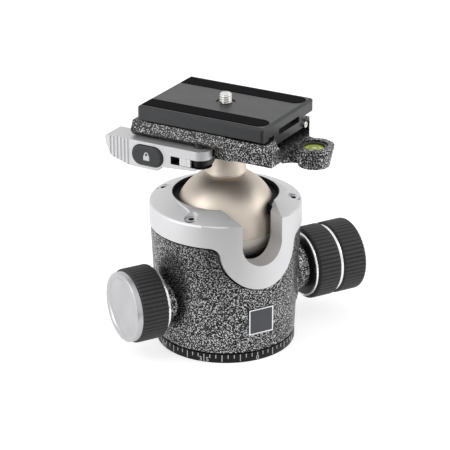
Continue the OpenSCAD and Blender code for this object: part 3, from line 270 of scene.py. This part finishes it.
def slotted_lever():
    """The lever's silver, painted black on the walls inside its slot as shade."""
    color = (0.68, 0.68, 0.69)
    metallic = 0.6
    made = Material("lever_silver", color, 0.48, metallic)
    blotches(made, 0.43, 0.54)
    # Painted shade: the lever is black within the slot's room.
    place = made.parts(made.mapped(Rotation=(0, 0, -CLAMP_YAW)))
    inside = 1.0
    for axis, (low, high) in enumerate(zip(SLOT_LOW, SLOT_HIGH)):
        above = made.math("GREATER_THAN", place[axis], low * MM)
        below = made.math("LESS_THAN", place[axis], high * MM)
        inside = made.math("MULTIPLY", made.math("MULTIPLY", above, below), inside)
    return part_black(made, inside, color, metallic)


def socket_steel():
    """Bare steel painted black below the screws' top faces, as painted shade in their sockets."""
    color = (0.58, 0.58, 0.59)
    metallic = 1.0
    made = Material("socket_steel", color, 0.28, metallic)
    # Painted shade: black below the screws' top faces.
    deep = made.math("LESS_THAN", made.parts()[2], SOCKET_TOP * MM)
    return part_black(made, deep, color, metallic, (0.004, 0.004, 0.004))


def turned_metal(name, color, roughness, height, pitch, bump=0.002):
    """Metal with the fine rings of a lathe about a line along X at a height."""
    made = Material(name, color, roughness, 1.0)
    wear(made, color, roughness - 0.04, roughness + 0.05)
    distance = made.axis_distance((0, 0, height), (1, 2))
    made.bump(made.math("SINE", made.math("MULTIPLY", distance, TAU / pitch)), bump)
    return made.mat


def ball_metal(name, color, roughness, metallic):
    """Champagne metal, turned about the stem, with rings that follow the height."""
    made = Material(name, color, roughness, metallic)
    wear(made, color, roughness - 0.03, roughness + 0.05)
    rings = made.noise(0.5, detail=3, roughness=0.7, stretch=(0.02, 0.02, 1))
    made.bump(rings, 0.0025)
    return made.mat


def rubber(name, color, roughness, grain=0.3, bump=0.02, specular=0.45):
    made = Material(name, color, roughness)
    made.set(made.shader, "Specular IOR Level", specular)
    wear(made, color, roughness - 0.06, roughness + 0.08)
    made.bump(made.noise(grain, detail=4, roughness=0.7), bump)
    return made.mat


def painted(name, color, roughness, grain=0.22, bump=0.006, metallic=0.0, specular=0.5):
    made = Material(name, color, roughness, metallic)
    made.set(made.shader, "Specular IOR Level", specular)
    wear(made, color, roughness - 0.05, roughness + 0.07)
    made.bump(made.noise(grain, detail=3, roughness=0.6), bump)
    return made.mat


def clear_green():
    """The level's green liquid, with a faint painted glow."""
    made = Material("level_green", (0.56, 0.66, 0.10), 0.1)
    made.set(made.shader, "IOR", 1.45)
    # Painted glow: a faint even emission.
    made.set(made.shader, "Emission Color", (0.55, 0.66, 0.10, 1))
    made.set(made.shader, "Emission Strength", 0.08)
    clouds = made.noise(3, detail=2, roughness=0.5)
    tone = made.ramp(clouds, [(0.2, (0.46, 0.55, 0.08)), (0.8, (0.64, 0.74, 0.16))])
    made.link(tone, made.shader, "Base Color")
    return made.mat


PAINT = speckled("speckled_paint", 0.54, skin=BODY_SHADE_CONE)
CLAMP_PAINT = speckled("speckled_clamp", 0.58, plain=TONGUE_SHADE)
# The jaw's flecks are dimmed, as painted shade under the camera plate.
JAW_PAINT_SHADED = speckled("speckled_jaw_painted_shade", 0.2)
COLLAR = lined_collar()
LEVER = slotted_lever()
SOCKET_SHADE_STEEL = socket_steel()
BALL = ball_metal("ball_champagne", (0.62, 0.55, 0.48), 0.46, 1.0)
# The lower half is paler than the upper, as painted light against the shade in the collar's notch.
BALL_LOW_PAINTED_LIGHT = ball_metal("ball_champagne_low_painted_light", (0.74, 0.69, 0.63), 0.50, 0.8)
RUBBER = rubber("grip_rubber", (0.032, 0.032, 0.034), 0.55)
PAD = rubber("pad_rubber", (0.004, 0.004, 0.005), 0.8, grain=0.5, bump=0.05, specular=0.06)
BLACK = painted("anodised_black_and_painted_shade", (0.016, 0.016, 0.018), 0.34)
SCALE = painted("scale_black", (0.008, 0.008, 0.009), 0.42, specular=0.2)
PLATE = painted("plate_anodised", (0.040, 0.041, 0.043), 0.36, grain=0.18, bump=0.012, metallic=0.35)
RING = turned_metal("ring_bright", (0.86, 0.86, 0.87), 0.16, LOCK_Z, pitch=0.3)
CAP_PAN = turned_metal("cap_spun_left", (0.50, 0.50, 0.51), 0.35, PAN_Z, pitch=0.45, bump=0.006)
CAP_LOCK = turned_metal("cap_spun_right", (0.50, 0.50, 0.51), 0.35, LOCK_Z, pitch=0.45, bump=0.006)
LATCH = satin_metal("latch_bright", (0.84, 0.84, 0.84), 0.45, metallic=0.3)
STEEL = satin_metal("bare_steel", (0.58, 0.58, 0.59), 0.28)
SCREW = satin_metal("camera_steel", (0.74, 0.73, 0.71), 0.24)
BRASS = satin_metal("bush_brass", (0.70, 0.52, 0.24), 0.30)
SEAT = painted("seat_black", (0.002, 0.002, 0.003), 0.55, specular=0.08)
LINER = painted("liner_dark", (0.030, 0.030, 0.033), 0.16)
WASHER = painted("washer_polymer", (0.62, 0.58, 0.48), 0.5)
BUTTON_PAINT = painted("button_grey", (0.030, 0.031, 0.033), 0.46, grain=0.25, bump=0.01)
BADGE = painted("badge_dark", (0.075, 0.078, 0.085), 0.30, grain=0.2, bump=0.004, metallic=0.6)
FRAME = satin_metal("badge_frame", (0.80, 0.80, 0.81), 0.22)
WHITE = painted("mark_white", (0.82, 0.82, 0.80), 0.5)
VIAL = clear_green()
BEZEL = painted("level_dark", (0.035, 0.035, 0.037), 0.35)
MARK = painted("mark_grey", (0.75, 0.75, 0.74), 0.5)
BUBBLE = painted("bubble_pale", (0.86, 0.92, 0.45), 0.08)

# Solids that aren't named here are bare steel
NODE_FINISH = {
    "housing_shell": PAINT, "clamp_body": CLAMP_PAINT, "moving_jaw": JAW_PAINT_SHADED,
    "top_collar": COLLAR, "seat_ring": SEAT, "badge_frame": FRAME, "badge_plate": BADGE,
    "ball_upper": BALL, "ball_lower": BALL_LOW_PAINTED_LIGHT, "ball_liner": LINER, "pressure_cup": LINER,
    "base_disc": BLACK, "pan_scale_ring": SCALE, "pan_washer_lower": WASHER, "pan_washer_upper": WASHER,
    "lock_knob_hub": BLACK, "lock_knob_grip": RUBBER, "lock_knob_ring": RING, "lock_bush": BRASS,
    "friction_hub": BLACK, "friction_grip": RUBBER, "friction_ring": RING, "friction_cap": CAP_LOCK,
    "pan_knob_hub": BLACK, "pan_knob_grip": RUBBER, "pan_knob_ring": RING, "pan_knob_cap": CAP_PAN,
    # The lever's cam and pin take the black as painted shade, where they lie under the jaw.
    "pan_lock_bush": BRASS, "lever_arm": LEVER, "lever_cam": BLACK, "lever_pin": BLACK,
    "latch_slider": LATCH, "lock_button": BUTTON_PAINT, "plate_body": PLATE, "pad_front": PAD,
    "pad_rear": PAD, "level_bezel": BEZEL, "level_vial": VIAL, "level_bubble": VIAL,
    "camera_screw": SCREW, "screw_clip": BLACK,
}


def set_material(obj, material):
    obj.data.materials.clear()
    obj.data.materials.append(material)


# Meshes

def shade(bm, angle):
    """Smooth faces, with the edges sharper than an angle in degrees kept sharp."""
    for face in bm.faces:
        face.smooth = True
    for edge in bm.edges:
        if len(edge.link_faces) == 2:
            edge.smooth = edge.calc_face_angle(0) < math.radians(angle)


def adopt(obj, body, material, replaces=()):
    """Puts a piece in the scene and lets it ride on a body."""
    bpy.context.scene.collection.objects.link(obj)
    set_material(obj, material)
    if replaces:
        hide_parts(*replaces)
    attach(obj, body)
    return obj


def add_mesh(name, verts, faces, body, material, place=None, replaces=(), smooth=35):
    """Makes a piece from points in millimetres, and sets its shading by an angle in degrees."""
    mesh = bpy.data.meshes.new(name)
    mesh.from_pydata([tuple(v) for v in verts], [], faces)
    bm = bmesh.new()
    bm.from_mesh(mesh)
    if place is not None:
        bmesh.ops.transform(bm, matrix=place, verts=bm.verts)
    bmesh.ops.recalc_face_normals(bm, faces=bm.faces)
    bmesh.ops.scale(bm, vec=(MM, MM, MM), verts=bm.verts)
    shade(bm, smooth)
    bm.to_mesh(mesh)
    bm.free()
    adopt(bpy.data.objects.new(name, mesh), body, material, replaces)


def machined(node, body, slot, material, width, top=None):
    """A copy of a solid in its place, with its sharp edges rounded, cut off at the height top."""
    bm = bmesh.new()
    bm.from_mesh(NODES[node].data)
    bmesh.ops.remove_doubles(bm, verts=bm.verts, dist=0.002 * MM)
    if top:
        whole = bm.verts[:] + bm.edges[:] + bm.faces[:]
        cut = bmesh.ops.bisect_plane(
            bm, geom=whole, plane_co=(0, 0, top * MM), plane_no=(0, 0, 1), clear_outer=True)
        rim = [e for e in cut["geom_cut"] if isinstance(e, bmesh.types.BMEdge)]
        bmesh.ops.contextual_create(bm, geom=rim)
    bmesh.ops.dissolve_limit(bm, angle_limit=math.radians(0.6), verts=bm.verts, edges=bm.edges)
    shade(bm, 30)
    mesh = bpy.data.meshes.new(node + "_soft")
    bm.to_mesh(mesh)
    bm.free()
    obj = adopt(bpy.data.objects.new(node + "_soft", mesh), body, material, (node,))
    bevel = obj.modifiers.new("Rounded edges", "BEVEL")
    bevel.width = width * MM
    bevel.segments = 3
    bevel.limit_method = "ANGLE"
    bevel.angle_limit = math.radians(28)
    bevel.miter_outer = "MITER_ARC"
    bevel.use_clamp_overlap = True
    bevel.harden_normals = True
    normals = obj.modifiers.new("Even shading", "WEIGHTED_NORMAL")
    normals.keep_sharp = True


def add_ring(verts, steps, height, radius_at):
    """Adds a ring of points about Z, with a radius for each turn, and gives their numbers."""
    first = len(verts)
    for k in range(steps):
        turn = TAU * k / steps
        radius = radius_at(turn)
        verts.append((radius * math.cos(turn), radius * math.sin(turn), height))
    return list(range(first, first + steps))


def ring_walls(rings, closed):
    """Faces between neighbouring rings, and between the last and the first where closed."""
    faces = []
    for ring, following in zip(rings, rings[1:] + rings[:1] if closed else rings[1:]):
        steps = len(ring)
        for k in range(steps):
            n = (k + 1) % steps
            corners = list(dict.fromkeys((ring[k], ring[n], following[n], following[k])))
            if len(corners) > 2:
                faces.append(corners)
    return faces


def lathe(name, profile, body, material, place=None, replaces=(), steps=128, smooth=30):
    """Turns a closed profile of (radius, height) points about the piece's own Z."""
    verts = []
    rings = []
    for radius, height in profile:
        if radius < 1e-6:
            rings.append([len(verts)] * steps)
            verts.append((0, 0, height))
        else:
            rings.append(add_ring(verts, steps, height, lambda turn: radius))
    add_mesh(name, verts, ring_walls(rings, True), body, material, place, replaces, smooth)


def arc(x, y, radius, start, end, count):
    """Points on a circle between two angles in degrees."""
    turns = [math.radians(start + (end - start) * i / count) for i in range(count + 1)]
    return [(x + radius * math.cos(t), y + radius * math.sin(t)) for t in turns]


# Stage, light and camera, in metres but for the camera's place

AIM = Vector((0, 0, 60))
CAMERA_TURN = math.radians(-29.3)
CAMERA_RISE = math.radians(22.8)
CAMERA_DISTANCE = 1068.3
CAMERA_RIGHT_SHIFT = -0.35
CAMERA_UP_SHIFT = 1.99
LENS = 163.8
SENSOR_W = 36
AMBIENT = 0.5
FLOOR_SIZE = 6
FLOOR_Z = CAD_BOX[0][2] - 0.05 * MM
FLOOR_GLOW = 0.64
CARD_TURN = CAMERA_TURN - math.radians(6)
CARD_AWAY = 0.72
CARD_Z = CAD_BOX[0][2] + MM
CARD_SIZE = (0.5, 1.2)
# Name, azimuth and rise in degrees, distance, size, and power in watts
LAMPS = (
    ("Key", -95, 20, 1.1, (0.7, 1.1), 5),
    ("Fill", 62, 20, 1.2, (0.7, 1.1), 4),
    ("Top", -20, 82, 1.1, (0.9, 0.9), 0.4),
)


def direction(turn, rise):
    """A unit vector away from the object, with turn counted from -Y towards +X."""
    return Vector((math.sin(turn) * math.cos(rise), -math.cos(turn) * math.cos(rise), math.sin(rise)))


def make_camera():
    back = direction(CAMERA_TURN, CAMERA_RISE)
    right = Vector((math.cos(CAMERA_TURN), math.sin(CAMERA_TURN), 0))
    up = back.cross(right)
    data = bpy.data.cameras.new("Camera")
    data.lens = LENS
    data.sensor_width = SENSOR_W
    data.sensor_fit = "HORIZONTAL"
    data.clip_start = 0.05
    data.clip_end = 20
    camera = bpy.data.objects.new("Camera", data)
    bpy.context.scene.collection.objects.link(camera)
    place = (AIM + right * CAMERA_RIGHT_SHIFT + up * CAMERA_UP_SHIFT + back * CAMERA_DISTANCE) * MM
    camera.matrix_world = Matrix.Translation(place) @ Matrix((right, up, back)).transposed().to_4x4()
    bpy.context.scene.camera = camera


def soft_light(name, azimuth, rise, distance, size, power):
    """A soft rectangular lamp that faces the object."""
    away = direction(math.radians(azimuth), math.radians(rise))
    data = bpy.data.lights.new(name, "AREA")
    data.shape = "RECTANGLE"
    data.size, data.size_y = size
    data.energy = power
    lamp = bpy.data.objects.new(name, data)
    bpy.context.scene.collection.objects.link(lamp)
    facing = away.to_track_quat("Z", "Y").to_matrix().to_4x4()
    lamp.matrix_world = Matrix.Translation(AIM * MM + away * distance) @ facing


def background_rays(tree):
    """One for rays that show the background: from the camera, and through metal and glass."""
    path = tree.nodes.new("ShaderNodeLightPath")
    seen = path.outputs["Is Camera Ray"]
    for ray in ("Is Glossy Ray", "Is Transmission Ray"):
        either = tree.nodes.new("ShaderNodeMath")
        either.operation = "MAXIMUM"
        tree.links.new(seen, either.inputs[0])
        tree.links.new(path.outputs[ray], either.inputs[1])
        seen = either.outputs[0]
    return seen


def make_world():
    """White to the camera and in reflections, and the ambient level to everything else."""
    world = bpy.data.worlds.new("Studio")
    bpy.context.scene.world = world
    world.use_nodes = True
    tree = world.node_tree
    sky = tree.nodes["Background"]
    sky.inputs["Color"].default_value = (1, 1, 1, 1)
    span = tree.nodes.new("ShaderNodeMapRange")
    span.inputs["To Min"].default_value = AMBIENT
    span.inputs["To Max"].default_value = 1.0
    tree.links.new(background_rays(tree), span.inputs["Value"])
    tree.links.new(span.outputs["Result"], sky.inputs["Strength"])


def make_floor():
    """A pale floor that keeps the object's shadow and shows near white."""
    bpy.ops.mesh.primitive_plane_add(size=FLOOR_SIZE, location=(0, 0, FLOOR_Z))
    floor = bpy.context.object
    floor.name = "Floor"
    paper = Material("paper", (0.8, 0.8, 0.8), 0.9)
    glow = paper.node("ShaderNodeEmission")
    level = paper.math("MULTIPLY", background_rays(paper.tree), FLOOR_GLOW)
    paper.link(level, glow, "Strength")
    both = paper.node("ShaderNodeAddShader")
    paper.link(paper.shader.outputs["BSDF"], both, 0)
    paper.link(glow.outputs["Emission"], both, 1)
    paper.link(both.outputs["Shader"], paper.tree.nodes["Material Output"], "Surface")
    set_material(floor, paper.mat)


def make_card():
    """A dark card in front of the object, that shows in its metal alone."""
    bpy.ops.mesh.primitive_plane_add(size=1)
    card = bpy.context.object
    card.name = "Dark_card"
    place = direction(CARD_TURN, 0) * CARD_AWAY + Vector((0, 0, CARD_Z))
    card.matrix_world = (Matrix.Translation(place) @ Matrix.Rotation(CARD_TURN, 4, "Z")
                         @ Matrix.Diagonal((*CARD_SIZE, 1, 1)))
    card.visible_camera = False
    card.visible_shadow = False
    card.visible_diffuse = False
    set_material(card, Material("dark_felt", (0.03, 0.03, 0.03), 0.9).mat)


def make_stage():
    make_world()
    make_floor()
    make_card()
    for lamp in LAMPS:
        soft_light(*lamp)
    bpy.context.scene.view_settings.view_transform = "Standard"


# Ball and stem

BALL_R = 27
SEAM_Z = 63.6
SEAM_EDGE = 0.22
SEAM_GAP = 0.02
SEAM_ROUND_DEG = 0.4
BALL_INNER_R = 22
NECK_R = 9.6
FOOT_R = 10.9
FOOT_Z = 93.6
NECK_GROOVE_R = 9.9
NECK_STEPS = 20
STEM_TOP = 107.25
BOLT_R = 4.05
BOLT_HEAD_R = 7.2
BOLT_SEAT_Z = 88.3


def make_ball():
    seam = BALL_Z - SEAM_Z
    outer = math.degrees(math.asin(-seam / BALL_R))
    inner = math.degrees(math.asin(-seam / BALL_INNER_R))
    top = math.degrees(math.acos(NECK_GROOVE_R / BALL_R))
    bore = math.degrees(math.acos(BOLT_HEAD_R / BALL_INNER_R))
    edge_r = math.sqrt(BALL_R ** 2 - seam ** 2) - SEAM_EDGE
    upper = [(edge_r, SEAM_Z + SEAM_GAP)]
    upper += arc(0, BALL_Z, BALL_R, outer + SEAM_ROUND_DEG, top, 48)
    upper += [(NECK_GROOVE_R, FOOT_Z - 0.45), (FOOT_R - 0.15, FOOT_Z - 0.05)]
    for i in range(NECK_STEPS + 1):
        t = i / NECK_STEPS
        waist = NECK_R + (FOOT_R - NECK_R) * (1 - t) ** 2
        upper.append((waist, FOOT_Z + 0.1 + t * (STEM_TOP - 0.3 - FOOT_Z)))
    upper += [(NECK_R - 0.2, STEM_TOP)]
    upper += [(BOLT_R, STEM_TOP), (BOLT_R, BOLT_SEAT_Z), (BOLT_HEAD_R, BOLT_SEAT_Z)]
    upper += arc(0, BALL_Z, BALL_INNER_R, bore, inner, 24)
    lower = arc(0, BALL_Z, BALL_R, -90, outer - SEAM_ROUND_DEG, 40) + [(edge_r, SEAM_Z - SEAM_GAP)]
    lower += arc(0, BALL_Z, BALL_INNER_R, inner, -90, 24)
    lower[0] = (0, lower[0][1])
    lower[-1] = (0, lower[-1][1])
    for name, profile, material, node in (("ball_shell_upper", upper, BALL, "ball_upper"),
                                          ("ball_shell_lower", lower, BALL_LOW_PAINTED_LIGHT, "ball_lower")):
        lathe(name, profile, "ball", material, None, (node,), 192, 25)


# Knobs

GRIP_R = 19.5
GRIP_ROUND = 1.2
FACE_R = GRIP_R - 3.2
LIP_R = GRIP_R - 2.1
LIP_H = 0.03
HUB_R = 14
RIB_N = 54
RIB_STEPS = 10
GROOVE_D = 0.6
GROOVE_PHASE = 0.96
GROOVE_HALF = 0.17
GROOVE_START_R = HUB_R + 1.5
GROOVE_RUN = 2.5
CROWN_D = 0.10
RING_WALL = 0.95
RING_EDGE = 0.16
# Radius and width of the rings
RING_SIZE = (17.7, 1.5)
MID_RING_SIZE = (18.5, 1.6)
LOCK_RING_X = 45.6
MID_RING_X = 60.5
PAN_RING_X = 41.8
# Start and width of the grips
LOCK_GRIP = (47.2, 13)
FRICTION_GRIP = (62.2, 13.9)
PAN_GRIP = (43.4, 14.6)
# Start, radius and height of the end caps
FRICTION_CAP = (76.1, 17.6, 0.8)
PAN_CAP = (58, 18.4, 3.2)


def grooved(radius, turn):
    """Radius of a grip's skin with its grooves, which keeps to the bore and the flat ends."""
    if radius < GROOVE_START_R:
        return radius
    phase = (turn / TAU * RIB_N - GROOVE_PHASE + 0.5) % 1 - 0.5
    groove = max(0.0, 1 - (phase / GROOVE_HALF) ** 2) ** 0.8
    crown = CROWN_D * (2 * abs(phase) - 0.5) ** 2 if abs(phase) > 0.25 else 0.0
    share = min(1.0, (radius - GROOVE_START_R) / GROOVE_RUN)
    return radius - share * (groove * GROOVE_D + crown)


def make_grip(name, body, side, height, size, node):
    """A ribbed grip of a start and a width, to one side of the body."""
    x, width = size
    bore = HUB_R + 0.05
    r = GRIP_R - GRIP_ROUND
    profile = [(bore, 0), (FACE_R, 0), (LIP_R, LIP_H)]
    profile += arc(r, GRIP_ROUND, GRIP_ROUND, -90, 0, 6)
    profile += [(GRIP_R, width / 2)]
    profile += arc(r, width - GRIP_ROUND, GRIP_ROUND, 0, 90, 6)
    profile += [(LIP_R, width - LIP_H), (FACE_R, width), (bore, width)]
    verts = []
    steps = RIB_N * RIB_STEPS
    rings = [add_ring(verts, steps, z, lambda turn: grooved(radius, turn)) for radius, z in profile]
    add_mesh(name, verts, ring_walls(rings, True), body, RUBBER, side(x, height), (node,), 40)


def make_cap(name, body, side, height, size, node, material):
    """An end cap of a start, a radius and a height, with a thin rolled rim and a gentle dish."""
    x, radius, high = size
    roll = min(0.6, 0.5 * high)
    dish = min(0.7, high / 3)
    profile = [(0, 0), (radius - 0.2, 0), (radius, 0.2)]
    profile += arc(radius - roll, high - roll, roll, 0, 90, 6)
    profile += [(radius - 2.2, high), (radius - 2.7, high - 0.3 * dish), (radius - 3.4, high - dish)]
    profile += [(radius - 5, high - 1.1 * dish), (6, high - 1.4 * dish), (0, high - 1.5 * dish)]
    lathe(name, profile, body, material, side(x, height), (node,), 160)


def make_ring(name, body, side, height, x, size, node):
    """A thin bright ring of a radius and a width, with rounded edges."""
    radius, width = size
    bore = radius - RING_WALL
    mid = radius - RING_EDGE
    profile = [(bore, 0), (mid, 0)] + arc(mid, RING_EDGE, RING_EDGE, -90, 0, 4)[1:]
    profile += arc(mid, width - RING_EDGE, RING_EDGE, 0, 90, 4) + [(bore, width)]
    lathe(name, profile, body, RING, side(x, height), (node,), 160)


def make_knobs():
    lock = ("lock_knob", to_right, LOCK_Z)
    friction = ("friction_knob", to_right, LOCK_Z)
    pan = ("pan_knob", to_left, PAN_Z)
    make_grip("lock_grip", *lock, LOCK_GRIP, "lock_knob_grip")
    make_grip("friction_grip_ribbed", *friction, FRICTION_GRIP, "friction_grip")
    make_grip("pan_grip", *pan, PAN_GRIP, "pan_knob_grip")
    make_ring("lock_ring", *lock, LOCK_RING_X, RING_SIZE, "lock_knob_ring")
    make_ring("friction_ring_bright", *friction, MID_RING_X, MID_RING_SIZE, "friction_ring")
    make_ring("pan_ring", *pan, PAN_RING_X, RING_SIZE, "pan_knob_ring")
    make_cap("friction_cap_spun", *friction, FRICTION_CAP, "friction_cap", CAP_LOCK)
    make_cap("pan_cap_spun", *pan, PAN_CAP, "pan_knob_cap", CAP_PAN)


# Base with its scale

BASE_R = 36.5
BASE_RING_H = 4.9
BASE_RING_WALL = 3
BASE_RING_EDGE = 0.3
MARK_T = 0.03
MARK_SUNK = 0.05
TICK_STEP = 5
TICK_W = 0.4
TICK_TOP = 4.6
TICK_SHORT = 2.0
TICK_LONG = 3.8
LONG_STEP = 15
NUMBER_STEP = 45
NUMBER_SIZE = 2.7 * 1.35
NUMBER_Z = 1.5
SCALE_TURN = -92.3


def on_base(angle, height, lift):
    """A point on the scale ring's skin, lifted from it or sunk into it."""
    radius = BASE_R + lift
    return (radius * math.cos(angle), radius * math.sin(angle), height)


def add_tick(verts, faces, middle, low, high):
    """Adds a thin curved plate on the scale ring between two heights."""
    start = len(verts)
    half_angle = TICK_W / 2 / BASE_R
    for lift in (-MARK_SUNK, MARK_T):
        for angle in (middle - half_angle, middle + half_angle):
            verts.extend([on_base(angle, low, lift), on_base(angle, high, lift)])
    for corners in ((0, 1, 3, 2), (4, 6, 7, 5), (0, 4, 5, 1), (2, 3, 7, 6), (0, 2, 6, 4), (1, 5, 7, 3)):
        faces.append([start + c for c in corners])


def number_shape(figures):
    """Points and faces of a short number, in units of its letter size, one unit thick."""
    curve = bpy.data.curves.new("figure", "FONT")
    curve.body = figures
    curve.align_x = "CENTER"
    curve.align_y = "CENTER"
    curve.resolution_u = 3
    curve.extrude = 0.5
    holder = bpy.data.objects.new("figure", curve)
    bpy.context.scene.collection.objects.link(holder)
    bpy.context.view_layer.update()
    mesh = bpy.data.meshes.new_from_object(holder.evaluated_get(bpy.context.evaluated_depsgraph_get()))
    points = [v.co.copy() for v in mesh.vertices]
    faces = [list(p.vertices) for p in mesh.polygons]
    bpy.data.objects.remove(holder)
    bpy.data.curves.remove(curve)
    bpy.data.meshes.remove(mesh)
    return points, faces


def make_scale():
    edge = BASE_RING_EDGE
    bore = BASE_R - BASE_RING_WALL
    mid = BASE_R - edge
    profile = [(bore, 0), (mid, 0)] + arc(mid, edge, edge, -90, 0, 3)[1:]
    profile += arc(mid, BASE_RING_H - edge, edge, 0, 90, 4) + [(bore, BASE_RING_H)]
    lathe("scale_ring", profile, "base", SCALE, None, ("pan_scale_ring",), 240)
    verts = []
    faces = []
    for degrees in range(0, 360, TICK_STEP):
        long = degrees % LONG_STEP == 0 and degrees % NUMBER_STEP
        length = TICK_LONG if long else TICK_SHORT
        add_tick(verts, faces, math.radians(degrees + SCALE_TURN), TICK_TOP - length, TICK_TOP)
    for degrees in range(0, 360, NUMBER_STEP):
        points, sides = number_shape(str(degrees))
        start = len(verts)
        for point in points:
            angle = math.radians(degrees + SCALE_TURN) + point.x * NUMBER_SIZE / BASE_R
            lift = MARK_T if point.z > 0 else -MARK_SUNK
            verts.append(on_base(angle, NUMBER_Z + point.y * NUMBER_SIZE, lift))
        faces.extend([[start + c for c in side] for side in sides])
    add_mesh("scale_marks", verts, faces, "base", WHITE, smooth=10)


# Lock button, level and camera screw

BUTTON_X = -28
BUTTON_FRONT = -32.4
BUTTON_Z = 105.8
PADLOCK_HALF_W = 1.75
PADLOCK_LOW = -2.1
PADLOCK_TOP = 0.4
SHACKLE_Z = 1
SHACKLE_R = 1.3
SHACKLE_BORE_R = 0.7
EAR_X = 50
EAR_Y = 1.5
VIAL_R = 5.3
VIAL_LOW = 111.4
VIAL_TOP = 113.8
BUBBLE_R = 1.35
BUBBLE_FLAT = 0.35
PLATE_TOP = 130.3
CAMERA_R = 3.175
CAMERA_TOP = 135.1
STUD_LOW = PLATE_TOP - 0.15
STUD_STEPS = 64
TIP_CHAMFER = 0.75
THREAD_PITCH = 1.27
THREAD_D = 0.55
THREAD_ROWS = 14


def add_inlay(verts, faces, outline):
    """Adds a thin flat plate on the button's front, from points about the button's middle."""
    start = len(verts)
    n = len(outline)
    for depth in (MARK_SUNK, -MARK_T):
        verts.extend([(BUTTON_X + x, BUTTON_FRONT + depth, BUTTON_Z + z) for x, z in outline])
    faces.append([start + i for i in range(n)])
    faces.append([start + n + i for i in range(n)])
    for i in range(n):
        j = (i + 1) % n
        faces.append([start + i, start + j, start + n + j, start + n + i])


def make_button_mark():
    """A plain padlock sign, as a thin light inlay."""
    verts = []
    faces = []
    w, low, top = PADLOCK_HALF_W, PADLOCK_LOW, PADLOCK_TOP
    add_inlay(verts, faces, [(-w, low), (w, low), (w, top), (-w, top)])
    shackle = [(SHACKLE_R, top)] + arc(0, SHACKLE_Z, SHACKLE_R, 0, 180, 12)
    shackle += [(-SHACKLE_R, top), (-SHACKLE_BORE_R, top)]
    shackle += arc(0, SHACKLE_Z, SHACKLE_BORE_R, 180, 0, 12) + [(SHACKLE_BORE_R, top)]
    add_inlay(verts, faces, shackle)
    add_mesh("lock_mark", verts, faces, "lock_button", MARK, CLAMP, smooth=10)


def make_level():
    """The vial under its clear face, with a ring mark and a bubble."""
    low, top = VIAL_LOW, VIAL_TOP
    place = on_clamp(EAR_X, EAR_Y)
    profile = [(0, low), (VIAL_R - 0.2, low), (VIAL_R, low + 0.2)]
    profile += arc(VIAL_R - 0.5, top - 0.5, 0.5, 0, 80, 4) + [(3, top + 0.06), (0, top + 0.1)]
    solids = ("level_vial", "level_bubble")
    lathe("vial_liquid", profile, "clamp", VIAL, place, solids, 96)
    circle = [(2.0, top + 0.02), (2.3, top + 0.02), (2.3, top + 0.13), (2.0, top + 0.14)]
    lathe("vial_mark", circle, "clamp", BEZEL, place, (), 64)
    bubble = arc(0, top - 0.1, BUBBLE_R, -20, 88, 8)
    bubble = [(r, top - 0.05 + (z - top + 0.1) * BUBBLE_FLAT) for r, z in bubble]
    bubble = [(0, bubble[0][1])] + bubble[:-1] + [(0, bubble[-1][1])]
    aside = on_clamp(EAR_X + 0.2, EAR_Y - 0.1, 0.02)
    lathe("vial_bubble", bubble, "clamp", BUBBLE, aside, (), 48, 60)


def make_camera_screw():
    """The camera screw: its head and shank from the solid, and a stud with a real helical thread."""
    machined("camera_screw", "camera_screw", "bare_steel", SCREW, 0.3, top=PLATE_TOP - 0.1)
    root = CAMERA_R - THREAD_D
    reach = CAMERA_TOP - STUD_LOW
    count = int(reach / THREAD_PITCH * THREAD_ROWS)
    verts = []
    rings = []
    for i in range(count + 1):
        height = STUD_LOW + reach * i / count
        limit = min(CAMERA_R - TIP_CHAMFER + CAMERA_TOP - height, root + 3 * (height - STUD_LOW))

        def threaded(turn):
            phase = (height / THREAD_PITCH - turn / TAU) % 1
            crest = min(1.0, max(0.0, 1 - abs(phase - 0.5) / 0.42) * 1.25)
            return min(root + THREAD_D * crest, limit)

        rings.append(add_ring(verts, STUD_STEPS, height, threaded))
    faces = ring_walls(rings, False) + [rings[-1], rings[0][::-1]]
    add_mesh("camera_stud", verts, faces, "camera_screw", SCREW, CLAMP, smooth=50)


# Solids whose sharp edges are rounded: node, body, slot, material and width of the rounding
SOFT_EDGES = (
    ("housing_shell", "housing", "speckled_paint", PAINT, 0.15),
    ("top_collar", "housing", "collar_silver", COLLAR, 0.4),
    ("badge_frame", "housing", "bright_ring", FRAME, 0.2),
    ("badge_plate", "housing", "badge_dark", BADGE, 0.1),
    ("clamp_body", "clamp", "speckled_paint", CLAMP_PAINT, 0.4),
    ("moving_jaw", "jaw", "speckled_paint", JAW_PAINT_SHADED, 0.4),
    ("lever_arm", "lever", "collar_silver", LEVER, 0.45),
    ("latch_slider", "latch", "collar_silver", LATCH, 0.12),
    ("lock_button", "lock_button", "button_grey", BUTTON_PAINT, 0.35),
    ("plate_body", "plate", "plate_black", PLATE, 0.3),
    ("pad_front", "plate", "pad_rubber", PAD, 0.45),
    ("pad_rear", "plate", "pad_rubber", PAD, 0.45),
    ("collar_screws", "housing", "bare_steel", SOCKET_SHADE_STEEL, 0.18),
    # The stop screws take the brighter camera steel, as painted light, since they face away from the
    # lamps.
    ("plate_stop_screws", "plate", "bare_steel", SCREW, 0.12),
    ("level_bezel", "clamp", "level_dark", BEZEL, 0.2),
    ("base_disc", "base", "hub_black", BLACK, 0.3),
    ("seat_ring", "housing", "seat_black", SEAT, 0.15),
)

for name, solid in NODES.items():
    set_material(solid, NODE_FINISH.get(name, STEEL))
make_camera()
make_stage()
make_ball()
make_knobs()
make_scale()
make_button_mark()
make_level()
make_camera_screw()
for edges in SOFT_EDGES:
    machined(*edges)

bpy.context.view_layer.update()
